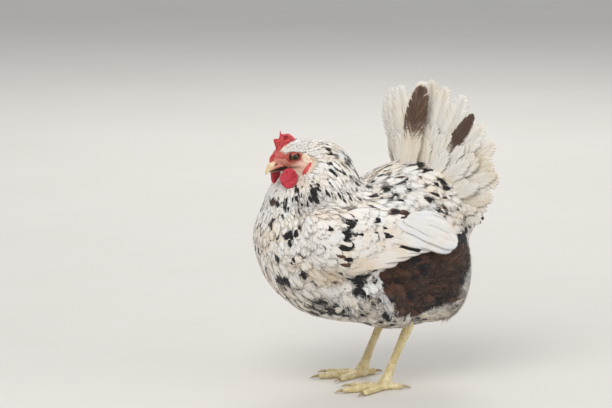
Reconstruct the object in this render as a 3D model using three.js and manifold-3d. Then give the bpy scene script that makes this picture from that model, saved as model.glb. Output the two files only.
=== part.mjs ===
// A life-size standing hen with a short neck, a full round body and a raised, fanned tail.
// Units are millimetres, +Z is up. The hen faces -X, so its left side is -Y. The feet stand on z = 0.
import * as THREE from "three";
import { mergeVertices } from "three/addons/utils/BufferGeometryUtils.js";
import Module from "manifold-3d";

const wasm = await Module();
wasm.setup();

// ---------------------------------------------------------------- driving dimensions

const GAP = 0.35; // clearance between neighbouring pieces
const BODY_FRONT = -127; // foremost point of the breast
const BODY_REAR = 127; // hindmost point of the rear fluff
const HALF_WIDTH = 82; // half the width of the trunk, without the wings
const SHOULDER_TOP = 236; // height of the back between the shoulders
const BELLY = 74; // lowest height of the breast and belly at mid length

const HEAD_AT = [-94.5, -7, 275]; // midway between the eyes
const HEAD_YAW = 24; // degrees that the head is turned to the hen's left
const EYE_RADIUS = 6.4;
const EYE_ASIDE = 9; // eye centre from the head's middle plane
const EYE_DROP = 1.7; // and below the head's own origin

const TAIL_ROOT = [66, 0, 212]; // where the quills of the tail meet
const TAIL_FEATHERS = 7; // on each side
const FEATHER_WIDTH = 38;
const FEATHER_THICK = 3; // a feather with the coverts that lie on its quill
const LEG_SPREAD = 37; // each leg from the middle plane
const HOCK = [44, 75]; // x and z of the ankle joint
const FOOT_X = 14; // x of the foot pad, under the centre of mass

// ---------------------------------------------------------------- shape helpers

const vec = (p) => new THREE.Vector3(...p);
const LEFT = vec([0, -1, 0]);
const rad = THREE.MathUtils.degToRad;

/**
 * A closed organic form: oval rings threaded on a smooth spine that ends in a point at both ends.
 * A station is [x, y, z, aside, above, below]: a point of the spine and the ring's half sizes there.
 * across is the ring's sideways direction, and facing fixes the rings' normal where the spine bends.
 * grow adds that much all round, for a cutter that leaves a gap.
 */
function loft({ stations, rings, around, across = LEFT, facing = null }, grow = 0) {
  const spine = new THREE.CatmullRomCurve3(stations.map((s) => vec(s.slice(0, 3))));
  const sizes = new THREE.CatmullRomCurve3(stations.map((s) => vec(s.slice(3))));
  const geometry = new THREE.SphereGeometry(1, around, rings);
  const place = geometry.getAttribute("position");
  const uv = geometry.getAttribute("uv");
  for (let i = 0; i < place.count; i++) {
    const t = 1 - uv.getY(i);
    const angle = 2 * Math.PI * uv.getX(i);
    const along = facing ?? spine.getTangent(t);
    const up = new THREE.Vector3().crossVectors(across, along).normalize();
    const side = new THREE.Vector3().crossVectors(along, up);
    const [aside, above, below] = sizes.getPoint(t).toArray();
    const isPole = t < 1e-6 || t > 1 - 1e-6;
    const reach = (size) => (isPole ? 0 : Math.max(size, 0.05) + grow);
    const point = spine.getPoint(t);
    if (isPole) point.addScaledVector(along, t < 0.5 ? -grow : grow);
    point.addScaledVector(side, Math.cos(angle) * reach(aside));
    point.addScaledVector(up, Math.sin(angle) * reach(Math.sin(angle) > 0 ? above : below));
    place.setXYZ(i, ...point.toArray());
  }
  return geometry;
}

/** An ellipsoid with its half sizes along its own axes, turned by Euler angles in degrees. */
function ellipsoid(centre, half, turn = [0, 0, 0], around = 16, rings = 10) {
  const placing = new THREE.Matrix4().compose(
    vec(centre),
    new THREE.Quaternion().setFromEuler(new THREE.Euler(...turn.map(rad))),
    vec(half),
  );
  return new THREE.SphereGeometry(1, around, rings).applyMatrix4(placing);
}

/** The manifold solid of a closed geometry. */
function solidOf(geometry) {
  const bare = geometry.clone();
  bare.deleteAttribute("normal");
  bare.deleteAttribute("uv");
  const merged = mergeVertices(bare, 1e-3);
  const corners = merged.index.array;
  const sound = [];
  for (let i = 0; i < corners.length; i += 3) {
    const [a, b, c] = corners.slice(i, i + 3);
    if (a !== b && b !== c && c !== a) sound.push(a, b, c);
  }
  const mesh = new wasm.Mesh({
    numProp: 3,
    vertProperties: merged.attributes.position.array,
    triVerts: new Uint32Array(sound),
  });
  const made = new wasm.Manifold(mesh);
  return made.volume() > 0 ? made : wasm.Manifold.ofMesh(flipped(mesh));
}

/** The same mesh with its faces turned round. */
function flipped(mesh) {
  const turned = new Uint32Array(mesh.triVerts);
  for (let i = 0; i < turned.length; i += 3) turned.subarray(i, i + 2).reverse();
  return new wasm.Mesh({ numProp: 3, vertProperties: mesh.vertProperties, triVerts: turned });
}

/** The solid less all the others, and only the largest body that is left of it. */
function cut(solid, ...others) {
  const bodies = others.reduce((left, other) => left.subtract(other), solid).decompose();
  return bodies.reduce((best, body) => (body.volume() > best.volume() ? body : best));
}

/** A solid parted by a plane with a gap between: the piece that the normal points to, then the rest. */
function parted(solid, { point, normal }) {
  const along = vec(normal).normalize();
  const offset = vec(point).dot(along);
  const ahead = solid.trimByPlane(along.toArray(), offset + GAP / 2);
  const behind = solid.trimByPlane(along.negate().toArray(), GAP / 2 - offset);
  return [ahead, behind];
}

const joined = (solids) => solids.reduce((all, one) => all.add(one));
const mirrored = (solid) => solid.mirror([0, 1, 0]);
const aboveFloor = (solid) => solid.trimByPlane([0, 0, 1], 0);

// ---------------------------------------------------------------- trunk, saddle and neck

const TRUNK = {
  rings: 17,
  around: 22,
  facing: vec([1, 0, 0]),
  stations: [
    [BODY_FRONT, 0, 174, 0, 0, 0],
    [BODY_FRONT + 4, 0, 174, 30, 30, 27],
    [BODY_FRONT + 18, 0, 172, 56, 54, 51],
    [-82, 0, 168, HALF_WIDTH - 8, 66, 72],
    [-42, 0, 164, HALF_WIDTH - 1, SHOULDER_TOP - 164, 164 - BELLY - 5],
    [2, 0, 160, HALF_WIDTH, SHOULDER_TOP - 160, 160 - BELLY],
    [44, 0, 156, HALF_WIDTH - 2, 82, 162 - BELLY],
    [82, 0, 152, HALF_WIDTH - 10, 84, 86],
    [109, 0, 148, HALF_WIDTH - 26, 68, 74],
    [BODY_REAR - 5, 0, 144, 34, 40, 46],
    [BODY_REAR, 0, 142, 0, 0, 0],
  ],
};

/** The cushion of saddle feathers and tail coverts that rises from the back to the tail. */
const SADDLE = {
  rings: 11,
  around: 18,
  stations: [
    [-14, 0, 220, 0, 0, 0],
    [-4, 0, 220, 28, 20, 22],
    [22, 0, 216, 50, 39, 34],
    [46, 0, 210, 60, 54, 42],
    [72, 0, 203, 63, 62, 48],
    [97, 0, 195, 59, 58, 48],
    [118, 0, 187, 46, 42, 42],
    [130, 0, 181, 26, 23, 26],
    [135, 0, 179, 0, 0, 0],
  ],
};

/** The full hackle from the shoulders up to the back of the head. */
const NECK = {
  rings: 12,
  around: 20,
  facing: vec([0, 0, 1]),
  stations: [
    [-44, 0, 150, 0, 0, 0],
    [-50, 0, 160, 40, 40, 40],
    [-58, 0, 188, 62, 57, 60],
    [-60, 0, 216, 62, 57, 62],
    [-58, 0, 240, 53, 50, 55],
    [-53, 1, 259, 40, 36, 43],
    [-49, 2, 274, 29, 25, 30],
    [-50, 2, 285, 18, 17, 19],
    [-54, 2, 291, 0, 0, 0],
  ],
};

// ---------------------------------------------------------------- head, in its own frame

// In the head's frame the origin is midway between the eyes and the bill points along -X.
const headFrame = new THREE.Object3D();
headFrame.position.set(...HEAD_AT);
headFrame.rotation.z = rad(HEAD_YAW);
headFrame.updateMatrixWorld(true);
const onHead = (geometry) => geometry.applyMatrix4(headFrame.matrixWorld);

const SKULL = {
  rings: 10,
  around: 16,
  stations: [
    [-27, 0, -7, 0, 0, 0],
    [-24, 0, -7, 5, 5.5, 6],
    [-17, 0, -4, 8, 9.5, 10],
    [-8, 0, -1, 11.6, 13, 14],
    [2, 0, 0, 14.4, 15.5, 17],
    [14, 0, 0, 17.4, 17, 20],
    [26, 0, -1, 20, 18, 22],
    [38, 0, -4, 17, 16, 20],
    [46, 0, -6, 0, 0, 0],
  ],
};

const BILL_UPPER = {
  rings: 8,
  around: 10,
  stations: [
    [-14, 0, -6, 0, 0, 0],
    [-16, 0, -6, 6.4, 6, 5],
    [-22, 0, -7.4, 5.8, 5.2, 4.6],
    [-27.5, 0, -10.2, 4.2, 3.8, 3.4],
    [-31, 0, -14, 2.4, 2.4, 2.2],
    [-32.6, 0, -17.6, 1.1, 1, 1],
    [-32.8, 0, -19.2, 0, 0, 0],
  ],
};

const BILL_LOWER = {
  rings: 7,
  around: 8,
  stations: [
    [-8, 0, -14, 0, 0, 0],
    [-12, 0, -14.2, 5.5, 2, 3.4],
    [-20, 0, -14.8, 4.6, 1.6, 3],
    [-26.5, 0, -16.4, 2.8, 1, 2],
    [-29.5, 0, -17.4, 0, 0, 0],
  ],
};

/** The comb's side outline in the head's frame: uneven points over a base sunk in the crown. */
function combShape() {
  const points = [
    [-28.5, 2.5],
    [-21.5, 5.5],
    [-18, 12],
    [-19.5, 22],
    [-15.5, 21],
    [-11.6, 30],
    [-8.4, 24.5],
    [-3.2, 27.5],
    [0.5, 23],
    [6, 25],
    [7.8, 21.5],
    [11.4, 20],
  ];
  const shape = new THREE.Shape();
  shape.moveTo(-26, -4);
  for (const [x, z] of points) shape.lineTo(x, z);
  shape.lineTo(13, 12);
  shape.lineTo(-8, 6);
  shape.closePath();
  return shape;
}

const COMB_THICK = 3.6;

function comb() {
  const bevel = { bevelThickness: 0.7, bevelSize: 0.7, bevelSegments: 1 };
  const depth = COMB_THICK - 2 * bevel.bevelThickness;
  const plate = new THREE.ExtrudeGeometry(combShape(), { depth, ...bevel });
  plate.translate(0, 0, -depth / 2);
  plate.rotateX(Math.PI / 2); // the outline's Y becomes the head's Z
  return solidOf(onHead(plate));
}

// Each of these is on the hen's left for side -1 and on its right for side 1.
const eye = (side, grow = 0) => {
  const half = Array(3).fill(EYE_RADIUS + grow);
  return solidOf(onHead(ellipsoid([0, side * EYE_ASIDE, -EYE_DROP], half, [0, 0, 0], 12, 8)));
};
const earLobe = (side) =>
  solidOf(onHead(ellipsoid([18, side * 19.8, -4.6], [5.4, 2.6, 5.8], [0, 0, -side * 12], 12, 8)));
const wattle = (side) =>
  solidOf(onHead(ellipsoid([-5, side * 11, -26], [12, 2.2, 12.4], [side * 8, 0, -18], 14, 8)));

// ---------------------------------------------------------------- left wing

/** Shoulder, coverts and secondaries, as they lie folded against the left flank. */
const WING = {
  rings: 11,
  around: 14,
  facing: vec([1, 0, 0]),
  stations: [
    [-100, -58, 188, 0, 0, 0],
    [-96, -60, 188, 12, 22, 22],
    [-80, -67, 187, 17, 35, 38],
    [-54, -75, 186, 17, 42, 46],
    [-20, -79, 184, 16, 42, 43],
    [10, -80, 189, 14, 35, 33],
    [36, -78, 189, 11, 24, 23],
    [52, -75, 187, 6, 12, 12],
    [57, -74, 186, 0, 0, 0],
  ],
};

/** The folded primaries, a blunt blade that runs on past the secondaries. */
const PRIMARIES = {
  rings: 8,
  around: 10,
  facing: vec([1, 0, 0]),
  stations: [
    [10, -76, 194, 0, 0, 0],
    [16, -76, 193, 8, 14, 14],
    [40, -77, 189, 9, 17, 16],
    [62, -76, 184, 8, 14, 14],
    [81, -73, 179, 6, 10, 11],
    [90, -71, 177, 0, 0, 0],
  ],
};

// ---------------------------------------------------------------- tail

/** A broad blunt feather in the XY plane, quill at the origin and tip at +Y. */
function featherShape(length, width) {
  const shape = new THREE.Shape();
  shape.moveTo(-width * 0.14, 0);
  shape.bezierCurveTo(-width * 0.3, length * 0.3, -width * 0.55, length * 0.5, -width / 2, length * 0.84);
  shape.bezierCurveTo(-width * 0.42, length * 1.01, width * 0.36, length * 1.03, width / 2, length * 0.86);
  shape.bezierCurveTo(width * 0.55, length * 0.5, width * 0.3, length * 0.3, width * 0.14, 0);
  shape.closePath();
  return shape;
}

// How far each half of the tail turns to the side rather than back, at the ridge and at its edge.
const OUTWARD = { left: [52, 44], right: [96, 50] };
const FEATHER_LENGTH = { left: [147, 84], right: [140, 84] }; // at the ridge and at its edge
const RIGHT_TWIST = 35; // how far the right half's first feather turns its flat side to the left
const RIDGE_TIP = [72, 14, 350];

const half = (side) => (side < 0 ? "left" : "right");

/** The unit vector that half of the tail points along, from upright at the ridge to level at 1. */
function tailAim(side, share) {
  const spread = rad(THREE.MathUtils.lerp(6, 96, share));
  const outward = rad(THREE.MathUtils.lerp(...OUTWARD[half(side)], share ** 2));
  const level = vec([Math.cos(outward), side * Math.sin(outward), 0]);
  return level.multiplyScalar(Math.sin(spread)).setZ(Math.cos(spread));
}

/** A long feather that points along one way from its root, with its flat side to another. */
function blade(root, along, facing, length, width, lift, grow) {
  const normal = facing.clone().addScaledVector(along, -facing.dot(along)).normalize();
  const across = new THREE.Vector3().crossVectors(along, normal);
  const thick = FEATHER_THICK + 2 * grow;
  const outline = featherShape(length + grow, width + 2 * grow);
  const plate = new THREE.ExtrudeGeometry(outline, { depth: thick, curveSegments: 3, bevelEnabled: false });
  plate.translate(0, 0, lift - thick / 2);
  return solidOf(plate.applyMatrix4(new THREE.Matrix4().makeBasis(across, along, normal).setPosition(root)));
}

/** Feather number k of half of the tail, 0 at the ridge and the last one lowest. */
function tailFeather(side, k, grow = 0) {
  const share = k / (TAIL_FEATHERS - 1);
  const along = tailAim(side, share);
  const towardEdge = tailAim(side, share + 0.05).sub(tailAim(side, share - 0.05));
  const facing = new THREE.Vector3().crossVectors(along, towardEdge);
  const twist = side > 0 ? rad(RIGHT_TWIST) * Math.max(1 - 2 * share, 0) : 0;
  facing.applyAxisAngle(along, twist);
  const length = THREE.MathUtils.lerp(...FEATHER_LENGTH[half(side)], share ** 1.5);
  const root = vec(TAIL_ROOT).addScaledVector(vec([0, side, 0]), 5);
  return blade(root, along, facing, length, FEATHER_WIDTH, 0.8 * k, grow);
}

/** The feather that stands on the ridge between the halves. */
function ridgeFeather(grow) {
  const root = vec(TAIL_ROOT).addScaledVector(vec([0, -1, 0]), 4);
  const along = vec(RIDGE_TIP).sub(root);
  const length = along.length();
  return blade(root, along.normalize(), vec([-0.4, -0.9, 0]), length, 27, 0, grow);
}

const tailSide = (side, grow = 0) =>
  joined([
    ...Array.from({ length: TAIL_FEATHERS }, (_, k) => tailFeather(side, k, grow)),
    ...(side < 0 ? [ridgeFeather(grow)] : []),
  ]);

// ---------------------------------------------------------------- left leg

const THIGH = {
  rings: 9,
  around: 12,
  stations: [
    [-40, -46, 138, 0, 0, 0],
    [-34, -50, 131, 24, 22, 22],
    [-16, -54, 116, 31, 34, 30],
    [9, -50, 100, 27, 30, 25],
    [28, -43, 87, 15, 17, 14],
    [38, -LEG_SPREAD - 1, 78, 8, 9, 8],
    [43, -LEG_SPREAD, 74, 0, 0, 0],
  ],
};

const SHANK = {
  rings: 10,
  around: 8,
  stations: [
    [HOCK[0] + 1, -LEG_SPREAD, HOCK[1] + 6, 0, 0, 0],
    [HOCK[0] + 1, -LEG_SPREAD, HOCK[1] + 3, 5, 5.5, 5.5],
    [HOCK[0] - 1, -LEG_SPREAD, HOCK[1] - 4, 6, 6.6, 6.6],
    [HOCK[0] - 8, -LEG_SPREAD, HOCK[1] - 18, 4.6, 5, 5],
    [HOCK[0] - 19, -LEG_SPREAD, 33, 4.3, 4.7, 4.7],
    [FOOT_X + 3.5, -LEG_SPREAD, 14, 6, 6, 6],
    [FOOT_X, -LEG_SPREAD, 5.5, 8.6, 9, 9],
    [FOOT_X - 1, -LEG_SPREAD, 0, 6.4, 7, 7],
    [FOOT_X - 1, -LEG_SPREAD, -2.5, 0, 0, 0],
  ],
};

// Each toe: its name, the degrees it points outwards from straight ahead, and its length to the claw.
const TOES = [
  { name: "inner", outward: -30, length: 40 },
  { name: "middle", outward: 3, length: 53 },
  { name: "outer", outward: 34, length: 43 },
  { name: "hind", outward: 164, length: 21 },
];
const TOE_RADIUS = 5.2;
const CLAW_LENGTH = 12;

/** The unit vector that a toe of the left foot points along. */
const toeAim = ({ outward }) => vec([-Math.cos(rad(outward)), -Math.sin(rad(outward)), 0]);

/** A point above the floor at a distance along the toe. */
const toePoint = (toe, distance, height) =>
  toeAim(toe).multiplyScalar(distance).add(vec([FOOT_X, -LEG_SPREAD, height])).toArray();

function toe(toeData, grow = 0) {
  const { length } = toeData;
  const joint = (share, radius, height) => [
    ...toePoint(toeData, share * length, height),
    radius,
    radius,
    radius,
  ];
  const aim = toeAim(toeData);
  return solidOf(
    loft(
      {
        rings: 8,
        around: 7,
        across: new THREE.Vector3().crossVectors(aim, vec([0, 0, 1])),
        stations: [
          joint(-0.02, 0, 4.4),
          joint(0.1, TOE_RADIUS, 4.4),
          joint(0.3, TOE_RADIUS * 0.82, 3.6),
          joint(0.48, TOE_RADIUS * 0.95, 4),
          joint(0.66, TOE_RADIUS * 0.72, 3),
          joint(0.82, TOE_RADIUS * 0.82, 3.4),
          joint(0.97, TOE_RADIUS * 0.55, 3.2),
          joint(1, 0, 3.2),
        ],
      },
      grow,
    ),
  );
}

function claw(toeData) {
  const { length } = toeData;
  const point = (distance, height, radius) => [
    ...toePoint(toeData, length + distance * CLAW_LENGTH, height),
    radius * 0.8,
    radius,
    radius,
  ];
  return solidOf(
    loft({
      rings: 6,
      around: 6,
      across: new THREE.Vector3().crossVectors(toeAim(toeData), vec([0, 0, 1])),
      stations: [
        point(-0.25, 3.4, 0),
        point(-0.1, 3.6, 2.2),
        point(0.3, 3.6, 1.9),
        point(0.7, 2.4, 1.1),
        point(1, 0.6, 0),
      ],
    }),
  );
}

// ---------------------------------------------------------------- cutting the hen into its pieces

const COLOURS = {
  plumage: "#e6dccb",
  white: "#efe9df",
  brown: "#4b2c1e",
  face: "#c4483f",
  comb: "#c22a30",
  lobe: "#e8cfae",
  bill: "#d8b68c",
  eye: "#5a3c16",
  scales: "#b7a27a",
  horn: "#8d7a63",
};

const hen = new THREE.Group();

/** Adds a solid to the hen as a named mesh with its own material. */
function add(name, solid, colour, roughness = 0.8) {
  const { vertProperties, triVerts } = solid.getMesh();
  const geometry = new THREE.BufferGeometry();
  geometry.setAttribute("position", new THREE.BufferAttribute(vertProperties, 3));
  geometry.setIndex(new THREE.BufferAttribute(triVerts, 1));
  geometry.computeVertexNormals();
  const material = new THREE.MeshStandardMaterial({ color: COLOURS[colour], roughness, metalness: 0 });
  const mesh = new THREE.Mesh(geometry, material);
  mesh.name = name;
  hen.add(mesh);
}

/** Adds a piece of the left side and its mirror image on the right. */
function addPair(name, solid, colour, roughness) {
  add(`${name}_left`, solid, colour, roughness);
  add(`${name}_right`, mirrored(solid), colour, roughness);
}

// Trunk, saddle, neck and skull are one flowing form, parted where a person would name them.
const HEAD_PLANE = { point: [-72, 0, 266], normal: [-0.62, 0, 0.78] };
const NECK_PLANE = { point: [-60, 0, 218], normal: [-0.45, 0, 0.89] };
const SADDLE_PLANE = { point: [14, 0, 237], normal: [0.5, 0, 0.87] };
const form = (grow) =>
  joined([TRUNK, SADDLE, NECK].map((shape) => solidOf(loft(shape, grow)))).add(
    solidOf(onHead(loft(SKULL, grow))),
  );
const cutter = form(GAP);
const eyes = [-1, 1].map((side) => eye(side));
const eyeCutters = [-1, 1].map((side) => eye(side, GAP));
const [headAndNeck, body] = parted(cut(form(0), ...eyeCutters), NECK_PLANE);
const [head, neck] = parted(headAndNeck, HEAD_PLANE);
const [saddle, trunk] = parted(body, SADDLE_PLANE);

const billUpper = cut(solidOf(onHead(loft(BILL_UPPER))), cutter);
const billUpperCutter = solidOf(onHead(loft(BILL_UPPER, GAP)));
const billLower = cut(solidOf(onHead(loft(BILL_LOWER))), cutter, billUpperCutter);
const billLowerCutter = solidOf(onHead(loft(BILL_LOWER, GAP)));

add("trunk", trunk, "plumage");
add("saddle", saddle, "plumage");
add("neck", neck, "plumage");
add("head", head, "face", 0.6);
add("bill_upper", billUpper, "bill", 0.4);
add("bill_lower", billLower, "bill", 0.4);
add("comb", cut(comb(), cutter, billUpperCutter), "comb", 0.5);
[-1, 1].forEach((side, i) => {
  const name = half(side);
  add(`eye_${name}`, eyes[i], "eye", 0.1);
  add(`ear_lobe_${name}`, cut(earLobe(side), cutter), "lobe", 0.6);
  const hanging = cut(wattle(side), cutter, billUpperCutter, billLowerCutter);
  add(`wattle_${name}`, hanging, "comb", 0.5);
});

// The folded wing is one form too, parted where the primaries come out from under the secondaries.
const WING_PLANE = { point: [44, 0, 188], normal: [0.9, 0, -0.3] };
const foldedWing = (grow) => joined([WING, PRIMARIES].map((shape) => solidOf(loft(shape, grow))));
const [primaries, wing] = parted(cut(foldedWing(0), cutter), WING_PLANE);
addPair("wing", wing, "white");
addPair("primaries", primaries, "white", 0.6);

const tailCutter = tailSide(-1, GAP);
add("tail_left", cut(tailSide(-1), cutter), "white");
add("tail_right", cut(tailSide(1), cutter, tailCutter), "white");

const thighCutter = solidOf(loft(THIGH, GAP));
const thigh = cut(solidOf(loft(THIGH)), cutter, foldedWing(GAP));
addPair("thigh", thigh, "brown");
const shank = aboveFloor(cut(solidOf(loft(SHANK)), cutter, thighCutter));
addPair("shank", shank, "scales", 0.5);

const shankCutter = solidOf(loft(SHANK, GAP));
const claimed = [shankCutter];
for (const toeData of TOES) {
  addPair(`toe_${toeData.name}`, aboveFloor(cut(toe(toeData), ...claimed)), "scales", 0.5);
  claimed.push(toe(toeData, GAP));
}
for (const toeData of TOES) {
  addPair(`claw_${toeData.name}`, aboveFloor(cut(claw(toeData), ...claimed)), "horn", 0.35);
}

// The origin is the middle of the hen's bounding box, on the floor.
const box = new THREE.Box3().setFromObject(hen);
const middle = box.getCenter(new THREE.Vector3());
hen.position.set(-middle.x, -middle.y, 0);

export default hen;
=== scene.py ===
"""A life-size hen with a raised, fanned tail: skin, plumage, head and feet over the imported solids."""

import logging
import math
from dataclasses import dataclass, field
from enum import Enum

import bmesh
import bpy
import numpy as np
from bpy.types import Material, Mesh, NodeSocket, Object
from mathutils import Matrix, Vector
from mathutils.bvhtree import BVHTree


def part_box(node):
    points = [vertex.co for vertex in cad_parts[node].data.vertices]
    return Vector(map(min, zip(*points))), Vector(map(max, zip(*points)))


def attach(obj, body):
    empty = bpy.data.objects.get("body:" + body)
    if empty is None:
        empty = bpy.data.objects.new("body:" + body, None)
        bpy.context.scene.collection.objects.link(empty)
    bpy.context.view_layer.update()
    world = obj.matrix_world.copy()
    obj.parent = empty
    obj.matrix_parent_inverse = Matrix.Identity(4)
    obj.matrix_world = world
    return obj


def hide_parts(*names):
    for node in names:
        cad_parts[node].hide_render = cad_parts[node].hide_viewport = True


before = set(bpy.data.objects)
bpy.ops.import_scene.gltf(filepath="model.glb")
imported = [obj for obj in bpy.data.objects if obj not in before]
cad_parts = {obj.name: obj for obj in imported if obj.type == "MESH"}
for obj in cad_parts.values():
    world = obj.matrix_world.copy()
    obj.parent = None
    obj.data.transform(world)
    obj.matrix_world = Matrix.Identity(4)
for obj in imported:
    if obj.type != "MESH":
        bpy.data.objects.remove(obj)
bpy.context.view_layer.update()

MM = 0.001
BODY = "root"
logging.basicConfig(level=logging.INFO, format="%(message)s")
log = logging.getLogger("hen")

Array = np.ndarray
Chance = np.random.Generator
Point = tuple[float, float, float]
Line = tuple[tuple[float, float], ...]


# ---- shared helpers


def unit(vectors: Array) -> Array:
    """Scales each row to length one."""
    return vectors / np.maximum(np.linalg.norm(vectors, axis=-1, keepdims=True), 1e-12)


def clamp(values: Array) -> Array:
    """Keeps values from 0 to 1."""
    return np.clip(values, 0.0, 1.0)


def bell(values: Array, width: float, others: Array | float = 0.0, other_width: float = 1.0) -> Array:
    """Falls from 1 where the values, and any others, are 0 to nearly nothing two widths away."""
    return np.exp(-((values / width) ** 2 + (others / other_width) ** 2))


def smooth_step(low: float, high: float, values: Array) -> Array:
    """Rises smoothly from 0 at low to 1 at high, or falls where high is the lesser."""
    t = clamp((values - low) / (high - low))
    return t * t * (3.0 - 2.0 * t)


def read(items: bpy.types.bpy_prop_collection, key: str, width: int, kind: type = float) -> Array:
    """Reads one property of all items.

    Args:
        items: The vertices, edges or other items of a mesh.
        key: The property.
        width: How many numbers it has for each item.
        kind: The numbers' type.

    Returns:
        The numbers, one row for each item.
    """
    values = np.empty(len(items) * width, dtype=kind)
    items.foreach_get(key, values)
    return values.reshape(-1, width)


def point_array(mesh: Mesh) -> Array:
    """Reads a mesh's vertices as rows."""
    return read(mesh.vertices, "co", 3)


def edge_array(mesh: Mesh) -> Array:
    """Reads a mesh's edges as pairs of vertices."""
    return read(mesh.edges, "vertices", 2, int)


def normal_array(mesh: Mesh) -> Array:
    """Reads a mesh's vertex normals as rows."""
    return read(mesh.vertex_normals, "vector", 3)


def add_object(name: str, data: bpy.types.ID) -> Object:
    """Puts a mesh, light or camera in the scene.

    Args:
        name: The object's name.
        data: What it shows.

    Returns:
        The new object.
    """
    made = bpy.data.objects.new(name, data)
    bpy.context.scene.collection.objects.link(made)
    return made


def make_object(name: str, points: Array, faces: Array | list) -> Object:
    """Makes an object from plain arrays and puts it in the scene.

    Args:
        name: The object's and mesh's name.
        points: The vertices, one per row, in metres.
        faces: The faces' corners.

    Returns:
        The new object.
    """
    mesh = bpy.data.meshes.new(name)
    mesh.from_pydata(points.tolist(), [], faces.tolist() if isinstance(faces, Array) else faces)
    mesh.update()
    mesh.polygons.foreach_set("use_smooth", [True] * len(mesh.polygons))
    return add_object(name, mesh)


def dress(made: Object, material: Material, slot: str, *nodes: str) -> None:
    """Gives a piece its finish, lets it ride on the body, hides the solids that it stands for and logs its
    faces.

    Args:
        made: The piece.
        material: Its finish.
        slot: The record's slot that the finish belongs to; not used.
        *nodes: The CAD nodes that it replaces.
    """
    made.data.materials.clear()
    made.data.materials.append(material)
    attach(made, BODY)
    if nodes:
        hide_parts(*nodes)
    log.info("%s: %d faces", made.name, len(made.data.polygons))


def outward_faces(mesh: Mesh, weld: bool = False) -> None:
    """Turns every face of a closed mesh outward.

    Args:
        mesh: The mesh.
        weld: Whether vertices at the same place become one first.
    """
    work = bmesh.new()
    work.from_mesh(mesh)
    if weld:
        bmesh.ops.remove_doubles(work, verts=work.verts, dist=1e-6)
    bmesh.ops.recalc_face_normals(work, faces=work.faces)
    work.to_mesh(mesh)
    work.free()


def tube_faces(rings: int, sides: int = 4) -> Array:
    """Numbers the triangles of a closed tube with a point at each end.

    Args:
        rings: How many rings it has.
        sides: How many vertices a ring has.

    Returns:
        The triangles: vertex 0 is the first point, then the rings, then the last point.
    """
    faces = []
    last = 1 + rings * sides
    for k in range(sides):
        after = (k + 1) % sides
        faces.append((0, 1 + after, 1 + k))
        for j in range(rings - 1):
            a, b = 1 + j * sides + k, 1 + j * sides + after
            faces.append((a, b, b + sides))
            faces.append((a, b + sides, a + sides))
        faces.append((last - sides + k, last - sides + after, last))
    return np.array(faces)


def along_path(path: Array, shares: Array) -> Array:
    """Reads places on smooth paths.

    Args:
        path: Even steps of each path, shaped (paths, steps, 3).
        shares: Where to read, from 0 to 1.

    Returns:
        Places shaped (paths, shares, 3).
    """
    steps = path.shape[1] - 1
    first = np.clip((shares * steps).astype(int), 0, steps - 1)
    t = (shares * steps - first)[None, :, None]
    before, after = path[:, np.maximum(first - 1, 0)], path[:, np.minimum(first + 2, steps)]
    start, end = path[:, first], path[:, first + 1]
    return 0.5 * (
        2 * start
        + (end - before) * t
        + (2 * before - 5 * start + 4 * end - after) * t**2
        + (3 * start - before - 3 * end + after) * t**3
    )


def closed_piece(name: str, front: Array, back: Array, disc: bool = False) -> Object:
    """Joins two grids of the same size round their rims into one closed piece.

    Args:
        name: The piece's name.
        front: One side, shaped (rows, columns, 3); a disc's rows are its rings, from its middle out.
        back: The other side, shaped alike.
        disc: Whether the last column ends the turn where the first began.

    Returns:
        The new object.
    """
    if disc:
        front, back = front[:, :-1], back[:, :-1]
    size = front.shape[0] * front.shape[1]
    grid = np.arange(size).reshape(front.shape[:2])
    after = np.roll(grid, -1, axis=1)
    cells = np.stack([grid[:-1], after[:-1], after[1:], grid[1:]], axis=-1)
    rim = grid[-1]
    if not disc:
        cells = cells[:, :-1]
        rim = np.concatenate([grid[0], grid[1:, -1], grid[-1, -2::-1], grid[-2:0:-1, 0]])
    cells, after = cells.reshape(-1, 4), np.roll(rim, -1)
    wall = np.stack([after, rim, rim + size, after + size], axis=1)
    faces = np.concatenate([cells, cells[:, ::-1] + size, wall])
    made = make_object(name, np.concatenate([front.reshape(-1, 3), back.reshape(-1, 3)]), faces)
    outward_faces(made.data, weld=disc)
    return made


def joined(*parts: Array) -> Array:
    """Joins x, y and z, or u and v, into places, and stretches each part to the others' shape."""
    return np.stack(np.broadcast_arrays(*parts), axis=-1)


def capped(line: Array, rings: Array) -> Array:
    """Puts the first and last place of each line before and after the rings round it."""
    return np.concatenate([line[:, :1], rings.reshape(len(line), -1, 3), line[:, -1:]], axis=1)


def lofted(name: str, rings: Array) -> Object:
    """Skins a row of rings and closes both ends with a point.

    Args:
        name: The piece's name.
        rings: The rings, shaped (rings, corners, 3).

    Returns:
        The new object.
    """
    count, sides = rings.shape[:2]
    points = np.concatenate([rings[:1].mean(1), rings.reshape(-1, 3), rings[-1:].mean(1)])
    made = make_object(name, points, tube_faces(count, sides))
    outward_faces(made.data)
    return made


def smooth_line(points: tuple | Array, count: int) -> Array:
    """Runs a smooth curve through points and gives that many even steps of it."""
    return along_path(np.asarray(points, dtype=float)[None], np.linspace(0.0, 1.0, count))[0]


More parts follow.
